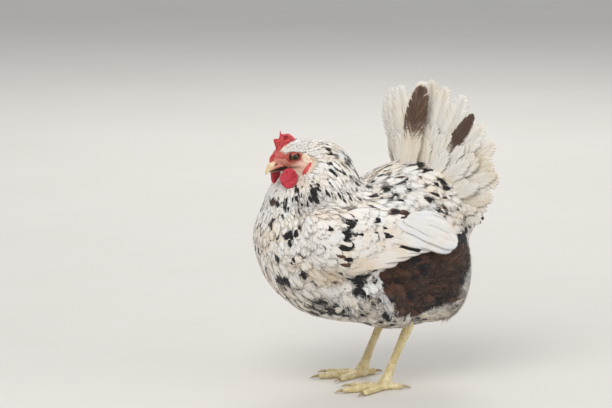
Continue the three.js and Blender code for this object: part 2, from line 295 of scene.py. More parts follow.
def merged_form(name: str, nodes: list[str], voxel: float) -> Object:
    """Melts CAD nodes into one closed, evenly meshed form.

    Args:
        name: The name of the form.
        nodes: The CAD nodes that it is made of.
        voxel: The size of the new mesh's faces, in metres.

    Returns:
        The new object.
    """
    points: list[Array] = []
    faces: list[list[int]] = []
    count = 0
    for node in nodes:
        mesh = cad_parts[node].data
        points.append(point_array(mesh))
        faces += [[corner + count for corner in face.vertices] for face in mesh.polygons]
        count += len(mesh.vertices)
    made = make_object(name, np.concatenate(points), faces)
    weld = made.modifiers.new("weld", "WELD")
    weld.merge_threshold = 1e-6
    remesh = made.modifiers.new("remesh", "REMESH")
    remesh.mode = "VOXEL"
    remesh.voxel_size = voxel
    old, depsgraph = made.data, bpy.context.evaluated_depsgraph_get()
    result = bpy.data.meshes.new_from_object(made.evaluated_get(depsgraph))
    made.modifiers.clear()
    made.data = result
    bpy.data.meshes.remove(old)
    result.name = name
    return made


def smoothed(points: Array, edges: Array, rounds: int, strength: float | Array = 0.5) -> Array:
    """Relaxes vertices towards the middle of their neighbours.

    Args:
        points: The vertices.
        edges: Pairs of neighbouring vertices.
        rounds: How many times to relax.
        strength: How far each vertex moves each time, from 0 to 1.

    Returns:
        The relaxed vertices.
    """
    count = np.bincount(edges.ravel(), minlength=len(points))[:, None]
    for _ in range(rounds):
        total = np.zeros_like(points)
        np.add.at(total, edges[:, 0], points[edges[:, 1]])
        np.add.at(total, edges[:, 1], points[edges[:, 0]])
        points = points + strength * (total / np.maximum(count, 1) - points)
    return points


def set_points(mesh: Mesh, points: Array) -> None:
    """Moves a mesh's vertices to new places."""
    mesh.vertices.foreach_set("co", points.ravel())
    mesh.update()


def paint(mesh: Mesh, name: str, values: Array) -> None:
    """Stores one number for each vertex as a named attribute."""
    layer = mesh.attributes.new(name, "FLOAT", "POINT")
    layer.data.foreach_set("value", np.ascontiguousarray(values, dtype=np.float32).ravel())


HASH = np.array([73856093, 19349663, 83492791])


def value_noise(points: Array, scale: float, seed: int) -> Array:
    """Smooth random values over space.

    Args:
        points: The places, in metres.
        scale: The size of a bump, in metres.
        seed: Which pattern to use.

    Returns:
        Values from 0 to 1, one for each place.
    """
    cell = np.floor(points / scale).astype(np.int64)
    local = points / scale - cell
    local = local * local * (3.0 - 2.0 * local)
    total = np.zeros(len(points))
    for corner in range(8):
        offset = np.array([corner & 1, corner >> 1 & 1, corner >> 2 & 1])
        key = (cell + offset) * HASH + seed * 2654435761
        mixed = key[:, 0] ^ key[:, 1] ^ key[:, 2]
        mixed = (mixed ^ (mixed >> 13)) * 1274126177
        value = ((mixed ^ (mixed >> 16)) & 0xFFFF) / 65535.0
        weight = np.prod(np.where(offset == 1, local, 1.0 - local), axis=1)
        total += weight * value
    return total


def ruffle(points: Array, scale: float, seed: int, amount: float) -> Array:
    """Gives smooth random values up to half the amount either way; see value_noise."""
    return (value_noise(points, scale, seed) - 0.5) * amount


def turns(count: int) -> Array:
    """Gives even steps of angle from 0 to a whole turn, both ends among them."""
    return np.linspace(0.0, 2 * math.pi, count)


# ---- places on the hen


class HenFrame:
    """Turns millimetres ahead of and beside the feet into places in the model's frame.

    Millimetre places are (x, y, z): -x is ahead, -y is to the hen's left and z is up from the floor.
    """

    def __init__(self) -> None:
        """Reads the foot pads' place and the eyes' places from the solids."""
        pads = [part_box("shank_left"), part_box("shank_right")]
        middle = (pads[0][0][1] + pads[1][1][1]) / 2
        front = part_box("trunk")[0][0]
        self.origin = np.array([front + 127 * MM, middle, 0.0])
        left, right = (np.mean(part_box(f"eye_{side}"), axis=0) for side in ("left", "right"))
        self.head_middle = (left + right) / 2 + np.array([0.0, 0.0, 1.7 * MM])
        up = np.array([0.0, 0.0, 1.0])
        self.head_left = unit(unit(left - right) * [1, 1, 0])
        self.head_axes = np.stack([np.cross(self.head_left, up), self.head_left, up])

    def at(self, places: Array | tuple) -> Array:
        """Turns body places in millimetres into metres in the model's frame."""
        return np.asarray(places, dtype=float) * MM + self.origin

    def millimetres(self, points: Array) -> Array:
        """Turns places in the model's frame into body places in millimetres."""
        return (points - self.origin) / MM

    def on_head(self, places: Array | tuple) -> Array:
        """Turns (ahead, left, up) from the middle of the head, in millimetres, into the model's frame."""
        return np.asarray(places, dtype=float) * MM @ self.head_axes + self.head_middle

    def head_millimetres(self, points: Array) -> Array:
        """Turns places in the model's frame into (ahead, left, up) from the middle of the head."""
        return (points - self.head_middle) @ self.head_axes.T / MM


HEN = HenFrame()
# The sign of each side in body places and in places from the middle of the head.
BODY_SIDES = ((-1, "left"), (1, "right"))
HEAD_SIDES = ((1, "left"), (-1, "right"))


# ---- how the coat lies


class Region(Enum):
    """The parts of the coat, each made as pieces of its own."""

    HEAD = "head"
    NECK = "neck"
    BREAST = "breast"
    FLANK = "flank"
    BACK = "back"
    SADDLE = "saddle"
    REAR = "rear"
    THIGH = "thigh"
    WING = "wing"


@dataclass(frozen=True)
class Guide:
    """The coat at one place of the left side, in millimetres.

    Attributes:
        region: The part of the coat that the place belongs to.
        place: Where it is, ahead of and beside the feet.
        lie: The direction that feathers point in.
    """

    region: Region
    place: Point
    lie: Point

    def sizes(self) -> tuple[float, float, float, float]:
        """Works out a feather's length and width, the coat's depth and the distance between feathers."""
        cut = CUTS[self.region]
        length = cut.full * min(math.dist(self.place, FACE) / cut.grown, 1.0)
        width = length * cut.slender
        return length, width, length * cut.loft, width * cut.crowd


@dataclass(frozen=True)
class Cut:
    """The sizes and proportions of a region's feathers, which grow longer away from the face.

    Attributes:
        full: The length of the longest, in millimetres.
        grown: How far from the face they reach that length, in millimetres.
        slender: Width as a share of length.
        loft: How far the coat stands over the skin, as a share of length.
        crowd: The distance between feathers, as a share of width.
    """

    full: float
    grown: float
    slender: float
    loft: float
    crowd: float


FACE = (-105, 0, 275)
R = Region
CUTS = {
    R.HEAD: Cut(full=18, grown=80, slender=0.38, loft=0.2, crowd=0.55),
    R.NECK: Cut(full=38, grown=100, slender=0.25, loft=0.22, crowd=0.42),
    R.BREAST: Cut(full=34, grown=120, slender=0.33, loft=0.26, crowd=0.4),
    R.FLANK: Cut(full=36, grown=120, slender=0.33, loft=0.25, crowd=0.36),
    R.BACK: Cut(full=32, grown=120, slender=0.3, loft=0.22, crowd=0.36),
    R.SADDLE: Cut(full=38, grown=150, slender=0.26, loft=0.22, crowd=0.38),
    R.REAR: Cut(full=48, grown=200, slender=0.26, loft=0.22, crowd=0.3),
    R.THIGH: Cut(full=24, grown=150, slender=0.35, loft=0.22, crowd=0.45),
    R.WING: Cut(full=40, grown=190, slender=0.4, loft=0.13, crowd=0.4),
}
GUIDES = (
    Guide(R.HEAD, (-100, -10, 290), (1, 0.3, 0.2)),
    Guide(R.HEAD, (-88, -20, 285), (1, 0.1, 0)),
    Guide(R.HEAD, (-76, -6, 292), (1, 0.1, 0)),
    Guide(R.HEAD, (-70, -22, 277), (1, 0.1, -0.3)),
    Guide(R.HEAD, (-76, -24, 262), (0.8, -0.1, -0.6)),
    Guide(R.HEAD, (-100, -12, 252), (0.5, 0, -0.9)),
    Guide(R.NECK, (-52, -2, 292), (0.95, 0, -0.25)),
    Guide(R.NECK, (-28, 0, 278), (0.75, 0, -0.65)),
    Guide(R.NECK, (-50, -34, 264), (0.5, -0.2, -0.85)),
    Guide(R.NECK, (-58, -52, 236), (0.3, -0.25, -0.92)),
    Guide(R.NECK, (-8, -8, 248), (0.5, -0.1, -0.85)),
    Guide(R.NECK, (-24, -46, 235), (0.5, -0.3, -0.8)),
    Guide(R.NECK, (-108, -8, 236), (-0.15, 0, -1)),
    Guide(R.NECK, (-92, -36, 232), (0.1, -0.2, -1)),
    Guide(R.BREAST, (-124, -6, 196), (0, 0, -1)),
    Guide(R.BREAST, (-100, -54, 196), (0.3, -0.25, -0.9)),
    Guide(R.BREAST, (-122, 0, 146), (0.35, 0, -0.94)),
    Guide(R.BREAST, (-92, -66, 152), (0.6, -0.1, -0.75)),
    Guide(R.BREAST, (-96, -12, 108), (0.85, 0, -0.5)),
    Guide(R.FLANK, (-62, -56, 106), (0.9, 0, -0.4)),
    Guide(R.FLANK, (-30, -10, 78), (1, 0, -0.1)),
    Guide(R.FLANK, (20, -20, 76), (1, 0, -0.15)),
    Guide(R.FLANK, (-60, -74, 136), (0.9, 0, -0.35)),
    Guide(R.FLANK, (0, -82, 140), (0.95, 0, -0.3)),
    Guide(R.FLANK, (60, -76, 172), (0.95, 0.1, -0.2)),
    Guide(R.BACK, (-20, -8, 234), (1, 0, 0.1)),
    Guide(R.BACK, (8, -40, 228), (0.95, -0.1, 0.05)),
    Guide(R.SADDLE, (28, 0, 252), (0.92, 0, 0.35)),
    Guide(R.SADDLE, (60, -6, 266), (0.85, 0, 0.5)),
    Guide(R.SADDLE, (50, -50, 232), (0.88, -0.15, -0.35)),
    Guide(R.SADDLE, (92, -36, 238), (0.9, -0.1, -0.2)),
    Guide(R.SADDLE, (84, -58, 205), (0.9, -0.05, -0.45)),
    Guide(R.SADDLE, (126, -10, 196), (0.5, 0, -0.85)),
    Guide(R.REAR, (112, -40, 150), (0.85, -0.05, -0.45)),
    Guide(R.REAR, (122, 0, 120), (0.35, 0, -0.93)),
    Guide(R.REAR, (70, -74, 130), (0.97, -0.05, -0.14)),
    Guide(R.REAR, (88, -56, 92), (0.93, -0.1, -0.3)),
    Guide(R.REAR, (90, -6, 72), (0.95, 0, -0.3)),
    Guide(R.THIGH, (-32, -80, 128), (0.5, -0.1, -0.85)),
    Guide(R.THIGH, (4, -78, 104), (0.65, 0, -0.75)),
    Guide(R.THIGH, (30, -46, 84), (0.6, 0, -0.8)),
    Guide(R.WING, (-92, -76, 205), (0.6, -0.2, -0.75)),
    Guide(R.WING, (-70, -92, 200), (0.9, -0.1, -0.4)),
    Guide(R.WING, (-78, -86, 165), (0.9, -0.1, -0.3)),
    Guide(R.WING, (-40, -96, 214), (0.98, -0.05, -0.15)),
    Guide(R.WING, (-40, -96, 185), (0.98, -0.05, -0.2)),
    Guide(R.WING, (-44, -92, 156), (1, 0, 0)),
    Guide(R.WING, (10, -94, 210), (0.95, 0.05, -0.3)),
    Guide(R.WING, (6, -94, 172), (0.98, 0.05, 0.1)),
)


class Lie:
    """Blends the guides into a field of directions and sizes over the whole skin."""

    def __init__(self, guides: tuple[Guide, ...]) -> None:
        """Unpacks the guides into arrays.

        Args:
            guides: The coat at places of the left side.
        """
        self.places = np.array([guide.place for guide in guides], dtype=float)
        self.lies = unit(np.array([guide.lie for guide in guides], dtype=float))
        self.sizes = np.array([guide.sizes() for guide in guides])
        self.regions = [guide.region for guide in guides]

    def weights(self, points: Array) -> tuple[Array, Array]:
        """Weighs the guides at some places.

        Args:
            points: Places in the model's frame.

        Returns:
            Each guide's share at each place, and each place's side: -1 on the left and 1 on the right.
        """
        places = HEN.millimetres(points)
        side = np.where(places[:, 1] > 0, 1.0, -1.0)
        places = places * joined(1.0, -side, 1.0)
        gaps = ((places[:, None, :] - self.places[None]) ** 2).sum(-1)
        shares = 1.0 / (gaps + 40.0) ** 2
        return shares / shares.sum(1, keepdims=True), side

    def directions(self, points: Array, normals: Array) -> Array:
        """Finds the way that feathers point, along the skin.

        Args:
            points: Places in the model's frame.
            normals: The skin's normals there.

        Returns:
            Unit vectors in the plane of the skin.
        """
        shares, side = self.weights(points)
        lie = shares @ self.lies
        near_middle = clamp(np.abs(HEN.millimetres(points)[:, 1]) / 14.0)
        lie[:, 1] *= -side * near_middle
        lie -= normals * (lie * normals).sum(1, keepdims=True)
        return unit(lie)

    def measures(self, points: Array) -> Array:
        """Gives length, width, depth and spacing in metres at some places, one row for each."""
        return self.weights(points)[0] @ self.sizes * MM

    def region_index(self, points: Array) -> Array:
        """Gives the number of the guide with the greatest say at each place."""
        return self.weights(points)[0].argmax(1)


LIE = Lie(GUIDES)


# ---- the coat's markings


class Tint(Enum):
    """What a mark is coloured with; the value is the attribute that holds its strength."""

    BLACK = "black"
    BROWN = "brown"
    TAN = "tan"
    # The grey marks are streaks that stand partly for dark under-fluff between the feathers and partly for
    # painted shade.
    GREY = "grey"


@dataclass(frozen=True)
class Mark:
    """A patch of colour on the coat, in millimetres.

    Attributes:
        tint: Its colour.
        place: Its middle.
        reach: Its half sizes along x, y and z.
    """

    tint: Tint
    place: Point
    reach: Point


@dataclass(frozen=True)
class Row:
    """A row of flecks that chance lays along the coat, in millimetres.

    Attributes:
        tint: Their colour.
        start: Where the row begins.
        end: Where it ends.
        count: How many flecks it has.
        size: A fleck's half size, before chance changes it.
        stray: How far a fleck may lie off the row.
        deep: A fleck's half size across the body, so that it meets the skin.
    """

    tint: Tint
    start: Point
    end: Point
    count: int
    size: float
    stray: float
    deep: float = 16.0

    def flecks(self, rng: Chance) -> list[Mark]:
        """Lays the row.

        Args:
            rng: The source of chance.

        Returns:
            One mark for each fleck.
        """
        start, end = np.array(self.start, dtype=float), np.array(self.end, dtype=float)
        marks = []
        for step in range(self.count):
            share = (step + rng.random()) / self.count
            place = start + (end - start) * share + (rng.random(3) - 0.5) * self.stray * np.array([2, 1, 2])
            size, tall = self.size * (0.65 + 0.7 * rng.random()), 0.7 + 0.6 * rng.random()
            marks.append(Mark(self.tint, tuple(place), (size / tall, self.deep, size * tall)))
        return marks


T = Tint
PATCHES = (
    # The grey patches are partly dark under-fluff, partly painted shade.
    Mark(T.GREY, (-80, -50, 225), (25, 20, 20)),  # side of the neck
    Mark(T.TAN, (-70, -65, 145), (35, 20, 15)),  # under the wing's front
    Mark(T.BROWN, (15, -90, 215), (15, 20, 6)),  # the wing's upper edge
    Mark(T.TAN, (0, -95, 155), (45, 20, 10)),  # the wing's lower edge
    Mark(T.GREY, (-10, -70, 110), (25, 25, 20)),  # thigh
)
ROWS = (
    # neck: its nape, its side, and the streaked band from the lobe down to the breast
    Row(T.BLACK, (-45, -20, 285), (-10, -25, 240), 8, 5, 8),
    Row(T.BLACK, (-60, -30, 280), (-25, -45, 230), 8, 4, 8),
    Row(T.BLACK, (-60, -50, 245), (-100, -50, 195), 18, 5, 12),
    Row(T.BLACK, (-80, -30, 250), (-115, -25, 205), 9, 5, 9),
    # breast
    Row(T.BROWN, (-115, -15, 220), (-115, -20, 190), 3, 5, 4),
    Row(T.BLACK, (-115, -35, 190), (-75, -70, 180), 6, 5, 7),
    Row(T.BLACK, (-120, -15, 155), (-95, -50, 120), 9, 5, 9),
    Row(T.BLACK, (-95, -45, 115), (-35, -50, 95), 10, 11, 6),
    # the bar behind the shoulder, and the flecks that trail from it over the wing
    Row(T.BLACK, (-55, -95, 225), (-45, -95, 180), 13, 6, 6, 20),
    Row(T.BLACK, (-30, -95, 205), (0, -95, 175), 5, 5, 7, 20),
    # saddle
    Row(T.BLACK, (10, -15, 250), (65, -50, 215), 12, 5, 15),
    Row(T.BROWN, (60, -20, 260), (120, -35, 190), 9, 8, 8),
    Row(T.BLACK, (75, -50, 215), (110, -50, 175), 8, 6, 15),
    # thigh, and the brown fluff of the rear
    Row(T.BLACK, (-35, -75, 130), (-5, -70, 95), 8, 6, 8),
    Row(T.BROWN, (5, -75, 140), (105, -55, 155), 9, 26, 4, 40),
    Row(T.BROWN, (20, -65, 110), (85, -55, 120), 6, 24, 4, 40),
    Row(T.BLACK, (50, -55, 90), (110, -45, 140), 5, 9, 6, 30),
)

# How often a feather is marked where no patch is named, for each tint and region.
SCATTERED: dict[Region, dict[Tint, float]] = {
    R.HEAD: {T.BLACK: 0.03},
    R.NECK: {T.BLACK: 0.13, T.BROWN: 0.01},
    R.BREAST: {T.BLACK: 0.1, T.BROWN: 0.02},
    R.FLANK: {T.BLACK: 0.14, T.BROWN: 0.03},
    R.BACK: {T.BLACK: 0.1},
    R.SADDLE: {T.BLACK: 0.13, T.BROWN: 0.05},
    R.REAR: {T.BLACK: 0.12, T.BROWN: 0.1},
    R.THIGH: {T.BLACK: 0.25},
    R.WING: {T.BLACK: 0.05, T.BROWN: 0.02},
}


class Markings:
    """Says how strongly each tint shows at a place, on skin and feathers alike."""

    def __init__(self, patches: tuple[Mark, ...], rows: tuple[Row, ...], seed: int) -> None:
        """Lays the rows and sorts all the marks by their tint.

        Args:
            patches: The named patches of the left side.
            rows: Its rows of flecks.
            seed: Where chance starts.
        """
        rng = np.random.default_rng(seed)
        marks = [*patches, *(fleck for row in rows for fleck in row.flecks(rng))]
        self.marks = {tint: [mark for mark in marks if mark.tint is tint] for tint in Tint}

    def patch(self, tint: Tint, points: Array) -> Array:
        """Gives the strength of one tint's named patches.

        Args:
            tint: The tint.
            points: Places in the model's frame.

        Returns:
            Values from 0 to 1.
        """
        places = HEN.millimetres(points)
        right = places[:, 1] > 0
        places = places * np.where(right[:, None], [1, -1, 1], [1, 1, 1])
        places = places + ruffle(points, 0.012, 5, 11.0)[:, None]
        places = places + ruffle(points, 0.0045, 6, 8.0)[:, None]
        places[right] += ruffle(points[right], 0.06, 9, 90.0)[:, None]
        total = np.zeros(len(points))
        for mark in self.marks[tint]:
            offset = (places - np.array(mark.place)) / np.array(mark.reach)
            total = np.maximum(total, 1.0 - (offset**2).sum(1) ** 0.5 * 0.72)
        return smooth_step(0.08, 0.55, total)

    def feathers(self, tips: Array, rng: Chance) -> tuple[dict[Tint, Array], dict[Tint, Array]]:
        """Chooses each feather's tints from the place where its end shows.

        Args:
            tips: Where each feather's end lies.
            rng: The source of chance.

        Returns:
            The named patches' strengths and the spots, by tint, one for each feather.
        """
        nearest = LIE.region_index(tips)
        clump = np.where(value_noise(tips, 0.016, 21) > 0.55, 2.4, 0.45)
        broken = clamp(0.15 + 1.3 * rng.random(len(tips)))
        named = {tint: self.patch(tint, tips) for tint in Tint}
        named[T.BLACK] = named[T.BLACK] * broken
        spots: dict[Tint, Array] = {}
        for tint in Tint:
            odds = np.array([SCATTERED[region].get(tint, 0.0) for region in LIE.regions])[nearest]
            spots[tint] = (rng.random(len(tips)) < odds * clump).astype(float)
        return named, spots


MARKINGS = Markings(PATCHES, ROWS, seed=11)


# ---- materials


class Nodes:
    """A short way to lay out a material's nodes."""

    def __init__(self, name: str) -> None:
        """Starts a material.

        Args:
            name: The material's name.
        """
        self.material = bpy.data.materials.new(name)
        self.material.use_nodes = True
        self.tree = self.material.node_tree
        self.tree.nodes.clear()
        self.output = self.tree.nodes.new("ShaderNodeOutputMaterial")
        self.shader = self.tree.nodes.new("ShaderNodeBsdfPrincipled")
        self.link(self.shader.outputs[0], self.output.inputs[0])

    def link(self, source: NodeSocket, target: NodeSocket) -> None:
        """Joins two sockets."""
        self.tree.links.new(source, target)

    def put(self, socket: NodeSocket, value: object) -> None:
        """Links a socket to another socket, or sets it to a plain value."""
        if isinstance(value, NodeSocket):
            self.link(value, socket)
        else:
            socket.default_value = value

    def node(self, kind: str, inputs: dict[str | int, object], **settings: object) -> bpy.types.Node:
        """Adds a node.

        Args:
            kind: The node's type without its "ShaderNode" prefix.
            inputs: What goes into it: sockets or plain values, by the input's name or number.
            **settings: Properties to set on it.

        Returns:
            The new node.
        """
        made = self.tree.nodes.new("ShaderNode" + kind)
        for key, value in settings.items():
            setattr(made, key, value)
        for key, value in inputs.items():
            self.put(made.inputs[key], value)
        return made

    def attribute(self, name: str) -> NodeSocket:
        """Reads a number that the mesh stores for each vertex."""
        return self.node("Attribute", {}, attribute_name=name).outputs["Fac"]

    def place(self) -> NodeSocket:
        """Reads the object's own place."""
        return self.node("TexCoord", {}).outputs["Object"]

    def math(self, operation: str, first: object, second: object = 0.0) -> NodeSocket:
        """Does a sum, under Blender's name for it, with sockets or numbers."""
        return self.node("Math", {0: first, 1: second}, operation=operation).outputs[0]

    def times(self, first: object, second: object) -> NodeSocket:
        """Multiplies two sockets or numbers."""
        return self.math("MULTIPLY", first, second)

    def plus(self, first: object, second: object) -> NodeSocket:
        """Adds two sockets or numbers."""
        return self.math("ADD", first, second)

    def minus(self, first: object, second: object) -> NodeSocket:
        """Takes the second socket or number from the first."""
        return self.math("SUBTRACT", first, second)

    def ramp(self, value: object, low: float, high: float) -> NodeSocket:
        """Rises smoothly from 0 to 1 as value goes from low to high."""
        inputs = {"Value": value, "From Min": low, "From Max": high}
        return self.node("MapRange", inputs, interpolation_type="SMOOTHSTEP").outputs["Result"]

    def mix(self, factor: object, first: object, second: object, blend: str = "MIX") -> NodeSocket:
        """Mixes two colours, each a socket or RGBA, by the second's share."""
        inputs = {0: factor, 6: first, 7: second}
        return self.node("Mix", inputs, data_type="RGBA", blend_type=blend).outputs[2]

    def noise(self, scale: float, detail: float = 4.0, vector: object = None) -> NodeSocket:
        """Adds smooth noise.

        Args:
            scale: How fine it is, in bumps per metre.
            detail: How many finer layers it has.
            vector: Where to read it, or nothing for the object's own place.

        Returns:
            The socket of values from 0 to 1.
        """
        inputs = {"Vector": vector or self.place(), "Scale": scale, "Detail": detail}
        return self.node("TexNoise", inputs).outputs["Fac"]

    def pebbles(self, scale: float) -> NodeSocket:
        """Divides the surface into cells and reads how far each place is from its cell's middle."""
        return self.node("TexVoronoi", {"Vector": self.place(), "Scale": scale}).outputs["Distance"]

    def bump(self, height: NodeSocket, strength: float, distance: float) -> None:
        """Raises the surface by a height.

        Args:
            height: The socket of heights.
            strength: How strongly it shows.
            distance: The height in metres that 1 stands for.
        """
        made = self.node("Bump", {"Strength": strength, "Distance": distance, "Height": height})
        self.link(made.outputs[0], self.shader.inputs["Normal"])

    def set(self, **values: object) -> None:
        """Sets the shader's sockets by name, with _ for a space."""
        for key, value in values.items():
            self.put(self.shader.inputs[key.replace("_", " ")], value)


def rgb(code: str) -> tuple[float, float, float, float]:
    """Turns a colour code such as "e8dccb" into linear light.

    Args:
        code: Six hexadecimal digits.

    Returns:
        Red, green, blue and an opaque alpha.
    """
    parts = (int(code[i : i + 2], 16) / 255 for i in (0, 2, 4))
    linear = [part / 12.92 if part <= 0.04045 else ((part + 0.055) / 1.055) ** 2.4 for part in parts]
    return (*linear, 1.0)


@dataclass(frozen=True)
class PlumageFinish:
    """Feathers: cream vanes with marks and fine barbs.

    Attributes:
        name: The material's name.
        cream: The usual colour.
        cool: A bluer white that some feathers have.
        warm: A warmer cream that some feathers have.
        black, brown, tan, grey: The marks' colours; the grey is partly dark under-fluff, partly painted
            shade.
        russet: The lighter streaks in the brown.
        barb_bump: How strongly the barbs show.
        fluff: The share of a brown feather that is pale, from its root on.
    """

    name: str
    cream: str = "f2eadf"
    cool: str = "edebe7"
    warm: str = "ecdcc5"
    black: str = "1c191a"
    brown: str = "36231b"
    russet: str = "5f4131"
    tan: str = "c8a677"
    grey: str = "6f6c70"
    barb_bump: float = 0.35
    fluff: float = 0.0

    def build(self) -> Material:
        """Makes the material.

        Returns:
            The finished material.
        """
        n = Nodes(self.name)
        along, across, seed = (n.attribute(key) for key in ("along", "across", "seed"))
        edge = n.math("ABSOLUTE", across)
        slanted = n.times(n.minus(along, n.times(edge, 0.22)), 60.0)
        place = n.node("CombineXYZ", {0: slanted, 1: n.times(across, 1.2), 2: n.times(seed, 91.0)})
        barbs = n.noise(1.0, 2.0, place.outputs[0])
        ragged = n.times(n.minus(barbs, 0.5), 0.5)
        blend = n.plus(n.noise(30.0, 3.0), n.times(n.minus(seed, 0.5), 0.22))
        colour = n.mix(n.times(n.ramp(blend, 0.47, 0.66), 0.8), rgb(self.cream), rgb(self.cool))
        colour = n.mix(n.times(n.ramp(blend, 0.5, 0.3), 0.75), colour, rgb(self.warm))
        colour = n.mix(n.times(n.attribute("tan"), 0.38), colour, rgb(self.tan))
        # Grey streaks: partly the dark under-fluff, partly painted shade.
        streak = n.times(n.ramp(barbs, 0.42, 0.6), n.attribute("grey"))
        colour = n.mix(streak, colour, rgb(self.grey))
        for key in ("brown", "black"):
            share = n.ramp(n.plus(n.attribute(key), ragged), 0.34, 0.64)
            tint = rgb(getattr(self, key))
            if key == "brown":
                if self.fluff:
                    share = n.times(share, n.ramp(n.plus(along, ragged), self.fluff, self.fluff + 0.12))
                streaks = n.plus(barbs, n.times(n.minus(seed, 0.5), 0.4))
                tint = n.mix(n.ramp(streaks, 0.42, 0.66), tint, rgb(self.russet))
            colour = n.mix(share, colour, tint)
        # Painted shade: each feather a little darker towards its root, where the feather above would shade
        # it, and lighter and darker along the barbs' streaks.
        shaded = n.plus(n.times(barbs, 0.18), 0.91)
        shaded = n.times(shaded, n.plus(n.times(n.ramp(along, 0.1, 0.75), 0.06), 0.94))
        grey = n.node("CombineColor", {0: shaded, 1: shaded, 2: shaded})
        n.set(Base_Color=n.mix(1.0, colour, grey.outputs[0], "MULTIPLY"), Roughness=0.62)
        n.set(Specular_IOR_Level=0.22, Sheen_Weight=0.1, Sheen_Roughness=0.5)
        n.set(Subsurface_Weight=0.18, Subsurface_Radius=(0.003, 0.0027, 0.0024), Subsurface_Scale=1.0)
        n.bump(barbs, self.barb_bump, 0.0006)
        return n.material


@dataclass(frozen=True)
class BareSkinFinish:
    """Bare skin of the face, comb, wattles or lobes, finely pebbled and moist.

    Attributes:
        name: The material's name.
        main: The usual colour.
        deep: A darker colour, which this finish lays in broad random patches as painted shade for its folds.
        pale: The colour of its raised places, a painted highlight.
        grain: How many pebbles there are in a metre.
        height: The height of a pebble, in metres.
    """

    name: str
    main: str
    deep: str
    pale: str
    grain: float = 1100.0
    height: float = 0.00035

    def build(self) -> Material:
        """Makes the material.

        Returns:
            The finished material.
        """
        n = Nodes(self.name)
        broad = n.noise(160.0, 5.0)
        fine = n.noise(700.0, 3.0)
        # Painted shade: the deep colour in broad random patches, standing for the shade of the folds.
        # Painted highlight: the pale colour where the fine noise also raises the bumps.
        colour = n.mix(n.ramp(broad, 0.35, 0.65), rgb(self.deep), rgb(self.main))
        colour = n.mix(n.times(n.ramp(fine, 0.55, 0.8), 0.6), colour, rgb(self.pale))
        height = n.minus(n.times(fine, 0.6), n.pebbles(self.grain))
        roughness = n.plus(n.times(fine, 0.25), 0.34)
        n.set(Base_Color=colour, Roughness=roughness, Subsurface_Weight=0.2)
        n.set(Subsurface_Radius=(0.004, 0.0012, 0.0008), Subsurface_Scale=0.6, Specular_IOR_Level=0.45)
        n.bump(height, 0.7, self.height)
        return n.material


@dataclass(frozen=True)
class HornFinish:
    """Horn of the bill, claws or leg scales: growth lines, worn tips and a soft gloss.

    Attributes:
        name: The material's name.
        main: The usual colour.
        dark: The growth lines' colour.
        tip: The colour of worn places.
        line_scale: How many growth lines there are in a metre.
        gloss: The roughness of the glossiest places.
    """

    name: str
    main: str
    dark: str
    tip: str
    line_scale: float = 900.0
    gloss: float = 0.38

    def build(self) -> Material:
        """Makes the material.

        Returns:
            The finished material.
        """
        n = Nodes(self.name)
        stretched = n.node("Mapping", {"Vector": n.place(), "Scale": (0.25, 1.0, 1.0)})
        lines = n.noise(self.line_scale, 4.0, stretched.outputs[0])
        blotches = n.noise(120.0, 4.0)
        colour = n.mix(n.ramp(blotches, 0.4, 0.7), rgb(self.main), rgb(self.tip))
        colour = n.mix(n.times(n.ramp(lines, 0.5, 0.75), 0.45), colour, rgb(self.dark))
        colour = n.mix(n.attribute("fleshy"), colour, rgb("cf8473"))
        colour = n.mix(n.attribute("shadow"), colour, rgb("2a1712"))
        roughness = n.plus(n.times(lines, 0.2), self.gloss)
        n.set(Base_Color=colour, Roughness=roughness, Specular_IOR_Level=0.5)
        n.bump(lines, 0.4, 0.00015)
        return n.material


@dataclass(frozen=True)
class SkinFinish:
    """The whole skin: red and wrinkled on the face, plumage-coloured under the feathers.

    Attributes:
        name: The material's name.
        face: The bare face's colours and grain.
        under: The colour under the feathers.
    """

    name: str
    face: BareSkinFinish
    under: str = "cfc4b2"

    def build(self) -> Material:
        """Makes the material.

        Returns:
            The finished material.
        """
        n = Nodes(self.name)
        broad = n.noise(150.0, 5.0)
        fine = n.noise(620.0, 3.0)
        flush = n.plus(n.attribute("flush"), n.times(n.minus(broad, 0.5), 1.3))
        face = n.mix(n.ramp(flush, 0.15, 0.85), rgb(self.face.main), rgb(self.face.deep))
        face = n.mix(n.attribute("pallor"), face, rgb("d9b7a0"))
        # Painted highlight: the face's pale colour where the fine noise also raises the bumps.
        face = n.mix(n.times(n.ramp(fine, 0.5, 0.8), 0.6), face, rgb(self.face.pale))
        body = n.mix(n.ramp(broad, 0.4, 0.7), rgb(self.under), rgb("b8ab98"))
        body = n.mix(n.attribute("brown"), body, rgb("432a20"))
        body = n.mix(n.attribute("black"), body, rgb("2a2424"))
        colour = n.mix(n.attribute("bare"), body, face)
        colour = n.mix(n.attribute("shadow"), colour, rgb("2b0f0d"))
        height = n.minus(n.times(fine, 0.8), n.pebbles(self.face.grain))
        n.set(Base_Color=colour, Roughness=n.plus(n.times(fine, 0.25), 0.42))
        n.set(Subsurface_Weight=0.15, Subsurface_Radius=(0.004, 0.0012, 0.0008), Subsurface_Scale=0.5)
        n.bump(height, 0.6, self.face.height)
        return n.material


